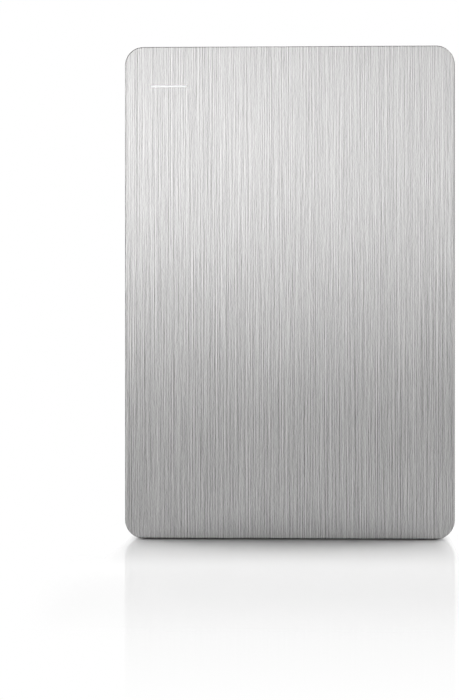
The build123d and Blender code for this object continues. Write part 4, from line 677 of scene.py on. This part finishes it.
def screws(node, head_height, shank_radius, from_front=True, countersunk=False):
    """Each screw stands where its solid does, along Y, with its head towards the front or the back."""
    solids = separate_solids(node)
    low, high = solids[0].min(axis=0), solids[0].max(axis=0)
    head_radius = (high[0] - low[0]) / 2
    foot = shank_radius if countersunk else head_radius
    recess_depth = min(RECESS_DEPTH_SHARE * head_height, RECESS_DEPTH_MOST)
    length = high[1] - low[1]
    radius, depth, a = screw_grid(head_radius, head_height, foot, shank_radius, length, recess_depth)
    y = low[1] + depth if from_front else high[1] - depth
    centres = np.array([(solid.min(axis=0) + solid.max(axis=0)) / 2 for solid in solids])
    centres = centres[:, None, None, :]
    x = centres[..., 0] + radius * np.cos(a)
    z = centres[..., 2] + radius * np.sin(a)
    points = np.stack(np.broadcast_arrays(x, y, z), axis=-1)
    return grid_mesh(node.replace("screw", "threaded_screw"), points, close_columns=True)


lid_screws = screws("lid_screws", head_height=0.5 * MM, shank_radius=0.55 * MM, countersunk=True)
bridge_screws = screws("bridge_screws", head_height=0.8 * MM, shank_radius=0.75 * MM)
board_screws = screws("drive_board_screws", head_height=0.1 * MM, shank_radius=0.5 * MM,
                      from_front=False)
clamp_screw = screws("clamp_screw", head_height=0.6 * MM, shank_radius=0.8 * MM)
replace_node(lid_screws, "lid_screws", "enclosure")
replace_node(bridge_screws, "bridge_screws", "enclosure")
replace_node(board_screws, "drive_board_screws", "enclosure")
replace_node(clamp_screw, "clamp_screw", "disc_stack")

# %% [markdown]
# ## Stator windings
# Nine coils of enamelled wire sit on the teeth of the motor's stator. Each is a rounded frame round its
# tooth. Going along the tooth, the outside swells and narrows once for each turn of wire, and then the
# surface comes back along the tooth as a smooth bore.

# %% Stator windings
WINDING_TURNS = 10
ROWS_PER_TURN = 6
WINDING_COLUMNS = 44
WIRE_RIDGE = 0.10
BORE_HALF = (0.64 * MM, 0.44 * MM)
FRAME_POWER = 0.35


def rounded(wave, power):
    """A sine or cosine with its sign kept and its size raised to a power, which squares a circle."""
    return np.sign(wave) * np.abs(wave) ** power


def stator_windings():
    """Across and axial = a squared circle, mixed from the bore to the ridged outside."""
    centre = np.array([SPINDLE[0], SPINDLE[2]])
    u = np.linspace(0, 2 * np.pi, WINDING_COLUMNS, endpoint=False)[None, :]
    along = np.linspace(0, 1, WINDING_TURNS * ROWS_PER_TURN + 1)
    ridge = 1 - WIRE_RIDGE * (1 - np.abs(np.sin(WINDING_TURNS * np.pi * along)))
    share = np.concatenate([ridge, [0.0, 0.0]])[:, None]
    along = np.concatenate([along, [1.0, 0.0]])[:, None]
    windings = []
    for solid in separate_solids("stator_coils"):
        flat = solid[:, [0, 2]] - centre
        outward = flat.mean(axis=0) / np.linalg.norm(flat.mean(axis=0))
        sideways = np.array([-outward[1], outward[0]])
        reach, side = flat @ outward, np.abs(flat @ sideways).max()
        half_y = np.ptp(solid[:, 1]) / 2
        middle_y = solid[:, 1].min() + half_y
        across = rounded(np.cos(u), FRAME_POWER) * (BORE_HALF[0] + share * (side - BORE_HALF[0]))
        axial = rounded(np.sin(u), FRAME_POWER) * (BORE_HALF[1] + share * (half_y - BORE_HALF[1]))
        out = reach.min() + along * np.ptp(reach) + 0 * u
        x = centre[0] + out * outward[0] + across * sideways[0]
        z = centre[1] + out * outward[1] + across * sideways[1]
        windings.append(np.stack([x, middle_y + axial, z], axis=-1))
    return grid_mesh("stator_windings", np.array(windings), close_rows=True, close_columns=True)


replace_node(stator_windings(), "stator_coils", "enclosure")

# %% [markdown]
# ## The voice coil
# The arm is driven by a flat coil at its tail, wound as a rounded sector about the pivot. A squared
# circle drawn in polar coordinates, angle against radius, gives that loop. The band between its outer
# and inner loop is scalloped once for each turn of wire, and its edges once for each layer.

# %% Voice coil
PIVOT = AXIS_OF["actuator_swing"]
COIL_BAND = 2.2 * MM
COIL_BAND_SPREAD = math.radians(11.0)
COIL_TURNS, COIL_LAYERS = 11, 5
COIL_POWER = 0.5
COIL_COLUMNS = 160
SCALLOP = 0.12


def band_profile():
    """(inward share, height share) round the band: front, inner edge, back, outer edge."""
    face = np.linspace(0, 1, COIL_TURNS * ROWS_PER_TURN + 1)[:-1]
    edge = np.linspace(0, 1, COIL_LAYERS * ROWS_PER_TURN + 1)[:-1]
    swell = 1 - SCALLOP * (1 - np.abs(np.sin(COIL_TURNS * np.pi * face)))
    dip = SCALLOP / 2 * (1 - np.abs(np.sin(COIL_LAYERS * np.pi * edge)))
    inward = np.concatenate([face, 1 - dip, 1 - face, dip])
    height = np.concatenate([swell, 1 - 2 * edge, -swell, 2 * edge - 1])
    return inward[:, None], height[:, None]


def wound_voice_coil():
    """Radius and angle about the pivot follow a squared circle that shrinks inwards over the band."""
    points = separate_solids("voice_coil")[0]
    flat = points[:, [0, 2]] - np.array([PIVOT[0], PIVOT[2]])
    radius = np.hypot(flat[:, 0], flat[:, 1])
    angle = np.arctan2(flat[:, 1], flat[:, 0])
    inward, height = band_profile()
    t = np.linspace(0, 2 * np.pi, COIL_COLUMNS, endpoint=False)[None, :]
    half_radius = np.ptp(radius) / 2 - inward * COIL_BAND
    half_angle = np.ptp(angle) / 2 - inward * COIL_BAND_SPREAD
    r = (radius.min() + radius.max()) / 2 + half_radius * rounded(np.sin(t), COIL_POWER)
    a = (angle.min() + angle.max()) / 2 + half_angle * rounded(np.cos(t), COIL_POWER)
    middle_y = (points[:, 1].min() + points[:, 1].max()) / 2
    y = middle_y + height * np.ptp(points[:, 1]) / 2 + 0 * t
    grid = np.stack([PIVOT[0] + r * np.cos(a), y, PIVOT[2] + r * np.sin(a)], axis=-1)
    return grid_mesh("wound_voice_coil", grid, close_rows=True, close_columns=True)


replace_node(wound_voice_coil(), "voice_coil", "actuator")

# %% [markdown]
# ## The lead to the heads
# A strip of printed film carries the signals from a fixed bracket to the swinging arm. It leaves the
# bracket straight and bends in one arc to the hub. When the arm swings, one end stays and the other
# follows; here the strip is made in its resting shape and rides on neither body.

# %% Lead to the heads
LEAD_SHEET = 0.12 * MM
LEAD_ROWS, LEAD_COLUMNS = 72, 24
LEAD_EDGE_POWER, LEAD_FACE_POWER = 0.6, 0.4
NEAR_BRACKET, NEAR_PIVOT = 0.02 * MM, 0.13 * MM
LOW_CORNER, HIGH_CORNER = 0, 6


def lead_arc():
    """The circle that leaves the bracket along -Z and passes through the end nearest the pivot."""
    points = separate_solids("head_flex")[0]
    away = np.hypot(points[:, 0] - PIVOT[0], points[:, 2] - PIVOT[2])
    start = points[np.isclose(points[:, 2], points[:, 2].max(), atol=NEAR_BRACKET)].mean(axis=0)
    end = points[np.isclose(away, away.min(), atol=NEAR_PIVOT)].mean(axis=0)
    chord = end - start
    bend = (chord[0] ** 2 + chord[2] ** 2) / (2 * chord[0])
    last = math.atan2(chord[2] / bend, 1 - chord[0] / bend)
    return start, end, bend, np.linspace(0, last, LEAD_ROWS)[:, None]


def printed_lead():
    """A thin rounded section, tall along Y, carried along the arc."""
    start, end, bend, a = lead_arc()
    height = np.ptp(separate_solids("head_flex")[0][:, 1]) / 2
    v = np.linspace(0, 2 * np.pi, LEAD_COLUMNS, endpoint=False)[None, :]
    aside = LEAD_SHEET / 2 * rounded(np.cos(v), LEAD_EDGE_POWER)
    tall = height * rounded(np.sin(v), LEAD_FACE_POWER)
    x = start[0] + bend - (bend + aside) * np.cos(a)
    z = start[2] + (bend + aside) * np.sin(a)
    grid = np.stack([x, start[1] + tall + 0 * a, z], axis=-1)
    caps = grid[[0, -1]].mean(axis=1, keepdims=True) + 0 * grid[[0, -1]]
    grid = np.concatenate([caps[:1], grid, caps[1:]])
    return grid_mesh("printed_lead", grid, close_columns=True), start, end


lead, lead_start, lead_end = printed_lead()
dress(lead, SLOT_OF["head_flex"])
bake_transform(lead)
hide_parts("head_flex")
lead_box = (lead.bound_box[LOW_CORNER], lead.bound_box[HIGH_CORNER])
print("lead box", [[round(c / MM, 2) for c in corner] for corner in lead_box])

# %% [markdown]
# ## The floor's finish
# The drive stands on a polished white sheet. Its paint keeps the dark line and the soft shade at the
# drive's foot, and away from the foot it's lifted to plain white, as far as camera and mirrors see it.
# The lift starts close by on either side and further out in front. The polish mirrors the drive and
# wears off with distance. All distances on the floor are in metres.

# %% Floor finish
FLOOR_WHITE = 0.92
LIFT_START, LIFT_END = 0.07, 0.22
LIFT_ASIDE, LIFT_BEHIND = 13.0, 4.0
FOOT_HALF = 0.031
SIDE_LIFT_START, SIDE_LIFT_END = 0.0335, 0.0372
FOOT_START, FOOT_END = 0.05, 0.20
GLOSS_AT_FOOT, GLOSS_ROUGHNESS = 0.25, 0.06
GLOSS_START, GLOSS_END = 0.06, 0.29
SIDE_GLOSS_START, SIDE_GLOSS_END = 0.0360, 0.0500


def seen_directly(tree):
    """1 on rays from the camera, a mirror or a clear piece, and 0 on rays that gather light."""
    path = tree.nodes.new("ShaderNodeLightPath").outputs
    seen = path["Is Camera Ray"]
    for name in ("Is Glossy Ray", "Is Transmission Ray"):
        larger = tree.nodes.new("ShaderNodeMath")
        larger.operation = "MAXIMUM"
        tree.links.new(seen, larger.inputs[0])
        tree.links.new(path[name], larger.inputs[1])
        seen = larger.outputs[0]
    return seen


def floor_finish():
    """White paint, lifted to plain white away from the drive, under a polish that wears off there."""
    finish = Finish("studio_floor")
    axes = finish.axes()
    aside = finish.math("ABSOLUTE", axes["X"])
    before = finish.math("MULTIPLY", axes["Y"], -1.0)
    reach = finish.math("MAXIMUM", before, finish.math("MULTIPLY", axes["Y"], LIFT_BEHIND))
    past_foot = finish.math("MAXIMUM", finish.math("SUBTRACT", aside, FOOT_HALF), 0.0)
    past_foot = finish.math("MULTIPLY", past_foot, LIFT_ASIDE)
    away = finish.node("CombineXYZ", {0: past_foot, 1: reach}).outputs[0]
    away = finish.node("VectorMath", {0: away}, operation="LENGTH").outputs["Value"]
    lift = finish.spread(away, 0.0, 1.0, LIFT_START, LIFT_END, ends="SMOOTHSTEP")
    beside = finish.spread(aside, 0.0, 1.0, SIDE_LIFT_START, SIDE_LIFT_END)
    beside = finish.math("MULTIPLY", beside, finish.spread(reach, 1.0, 0.0, FOOT_START, FOOT_END))
    lift = finish.math("MAXIMUM", lift, beside)
    share = finish.math("MULTIPLY", seen_directly(finish.tree), lift)
    paint = finish.node("BsdfDiffuse", {"Color": (FLOOR_WHITE,) * 3 + (1,)}).outputs[0]
    white = finish.node("Emission", {"Strength": 1.0}).outputs[0]
    lifted = finish.node("MixShader", {0: share, 1: paint, 2: white}).outputs[0]
    polish = finish.node("BsdfGlossy", {"Color": (1, 1, 1, 1), "Roughness": GLOSS_ROUGHNESS}).outputs[0]
    far = finish.node("VectorMath", {0: finish.place}, operation="LENGTH").outputs["Value"]
    gloss = finish.spread(far, GLOSS_AT_FOOT, 0.0, GLOSS_START, GLOSS_END)
    under = finish.spread(aside, 1.0, 0.0, SIDE_GLOSS_START, SIDE_GLOSS_END)
    gloss = finish.math("MULTIPLY", gloss, under)
    mixed = finish.node("MixShader", {0: gloss, 1: lifted, 2: polish}).outputs[0]
    finish.tree.links.new(mixed, finish.tree.nodes["Material Output"].inputs["Surface"])
    finish.tree.nodes.remove(finish.shader)
    return finish.material


floor.data.materials.append(floor_finish())
print("the floor is plain white from", LIFT_END, "m in front of the drive")

# %% [markdown]
# ## Dark cloth
# Metal shows whatever stands in front of it. In an all-white studio the brushed face would wash out, so
# photographers put dark cloth where the metal can see it. Here it lies on the floor in front of the
# picture and hangs up behind the camera, hidden from the camera itself.

# %% Dark cloth
CLOTH_START, CLOTH_RADIUS = 0.30, 1.6
CLOTH_HEIGHT, CLOTH_LIFT = 1.1, 0.002
CLOTH_SPREAD, CLOTH_COLUMNS = math.radians(75), 31
CLOTH_PEBBLE, CLOTH_ROUGHNESS, CLOTH_DEPTH = 3.0, 0.85, 0.012


def dark_cloth():
    """A profile (r, h), along the floor and up, turned about the drive: (r sin a, -r cos a, h)."""
    a = np.linspace(-CLOTH_SPREAD, CLOTH_SPREAD, CLOTH_COLUMNS)[None, :]
    r = np.array([CLOTH_START, CLOTH_RADIUS, CLOTH_RADIUS])[:, None]
    h = np.array([CLOTH_LIFT, CLOTH_LIFT, CLOTH_HEIGHT])[:, None]
    points = np.stack(np.broadcast_arrays(r * np.sin(a), -r * np.cos(a), h), axis=-1)
    cloth = grid_mesh("dark_cloth", points, tidy=False)
    finish = moulded_finish("dark_cloth", BLACK, CLOTH_PEBBLE, CLOTH_ROUGHNESS, CLOTH_DEPTH)
    cloth.data.materials.append(finish)
    cloth.visible_camera = False
    cloth.visible_shadow = False
    return cloth


cloth = dark_cloth()
print("dark cloth of", len(cloth.data.polygons), "faces")

# %% [markdown]
# ## Lamps
# A large soft lamp hangs overhead and a little behind, and leaves the shade at the foot. It's hidden
# from mirrors, so the cover's upper edge doesn't flare. A second lamp in front is seen only by glossy
# surfaces. Like a studio lamp behind a honeycomb grid, it sends a narrow beam, which is aimed above the
# drive: the metal is bright at its top and falls off towards its foot. A third, behind, lets the edges
# of the black case catch the light.

# %% Lamps
OPEN_BEAM = 180.0


def soft_lamp(name, place, target, size, power, spread=OPEN_BEAM):
    """A rectangular lamp that faces a point, with its beam held to a spread in degrees."""
    lamp = bpy.data.objects.new(name, bpy.data.lights.new(name, "AREA"))
    lamp.data.shape = "RECTANGLE"
    lamp.data.size, lamp.data.size_y = size
    lamp.data.energy = power
    lamp.data.spread = math.radians(spread)
    lamp.location = place
    lamp.rotation_euler = (Vector(target) - Vector(place)).to_track_quat("-Z", "Y").to_euler()
    bpy.context.scene.collection.objects.link(lamp)
    print(name, "of", power, "W at", place)
    return lamp


overhead = soft_lamp("overhead_lamp", place=(0, 0.15, 0.55), target=(0, 0.15, 0),
                     size=(0.6, 0.28), power=4.3)
front = soft_lamp("front_lamp", place=(-0.20, -0.95, 0.24), target=(-0.075, 0, 0.42),
                  size=(0.5, 0.38), power=1.24, spread=48.0)
back = soft_lamp("back_lamp", place=(0.45, 0.85, 0.55), target=(0, 0, 0.06),
                 size=(0.5, 0.5), power=12.0)
overhead.visible_glossy = False
front.visible_diffuse = False
back.visible_diffuse = False

# %% [markdown]
# ## Backdrop
# The camera and mirrors see plain white all round. The light that the backdrop gives is weaker, and
# weaker still from the front, so that the shade in front of the drive stays.

# %% Backdrop
AMBIENT_FRONT, AMBIENT_BACK = 0.05, 0.45
AMBIENT_TURN = 0.2


def studio_world():
    """White where the camera and mirrors look; the light it gives is softer, and most from behind."""
    world = bpy.data.worlds.new("studio")
    world.use_nodes = True
    bpy.context.scene.world = world
    tree = world.node_tree
    across = tree.nodes.new("ShaderNodeSeparateXYZ")
    tree.links.new(tree.nodes.new("ShaderNodeTexCoord").outputs["Generated"], across.inputs[0])
    ambient = tree.nodes.new("ShaderNodeMapRange")
    limits = {"From Min": -AMBIENT_TURN, "From Max": AMBIENT_TURN,
              "To Min": AMBIENT_FRONT, "To Max": AMBIENT_BACK}
    for name, value in limits.items():
        ambient.inputs[name].default_value = value
    tree.links.new(across.outputs["Y"], ambient.inputs["Value"])
    strength = tree.nodes.new("ShaderNodeMapRange")
    strength.inputs["To Max"].default_value = 1.0
    tree.links.new(ambient.outputs[0], strength.inputs["To Min"])
    tree.links.new(seen_directly(tree), strength.inputs["Value"])
    background = tree.nodes["Background"]
    background.inputs["Color"].default_value = (1, 1, 1, 1)
    tree.links.new(strength.outputs[0], background.inputs["Strength"])


studio_world()
bpy.context.scene.view_settings.view_transform = "Standard"
print("light from the backdrop:", AMBIENT_FRONT, "in front,", AMBIENT_BACK, "behind")
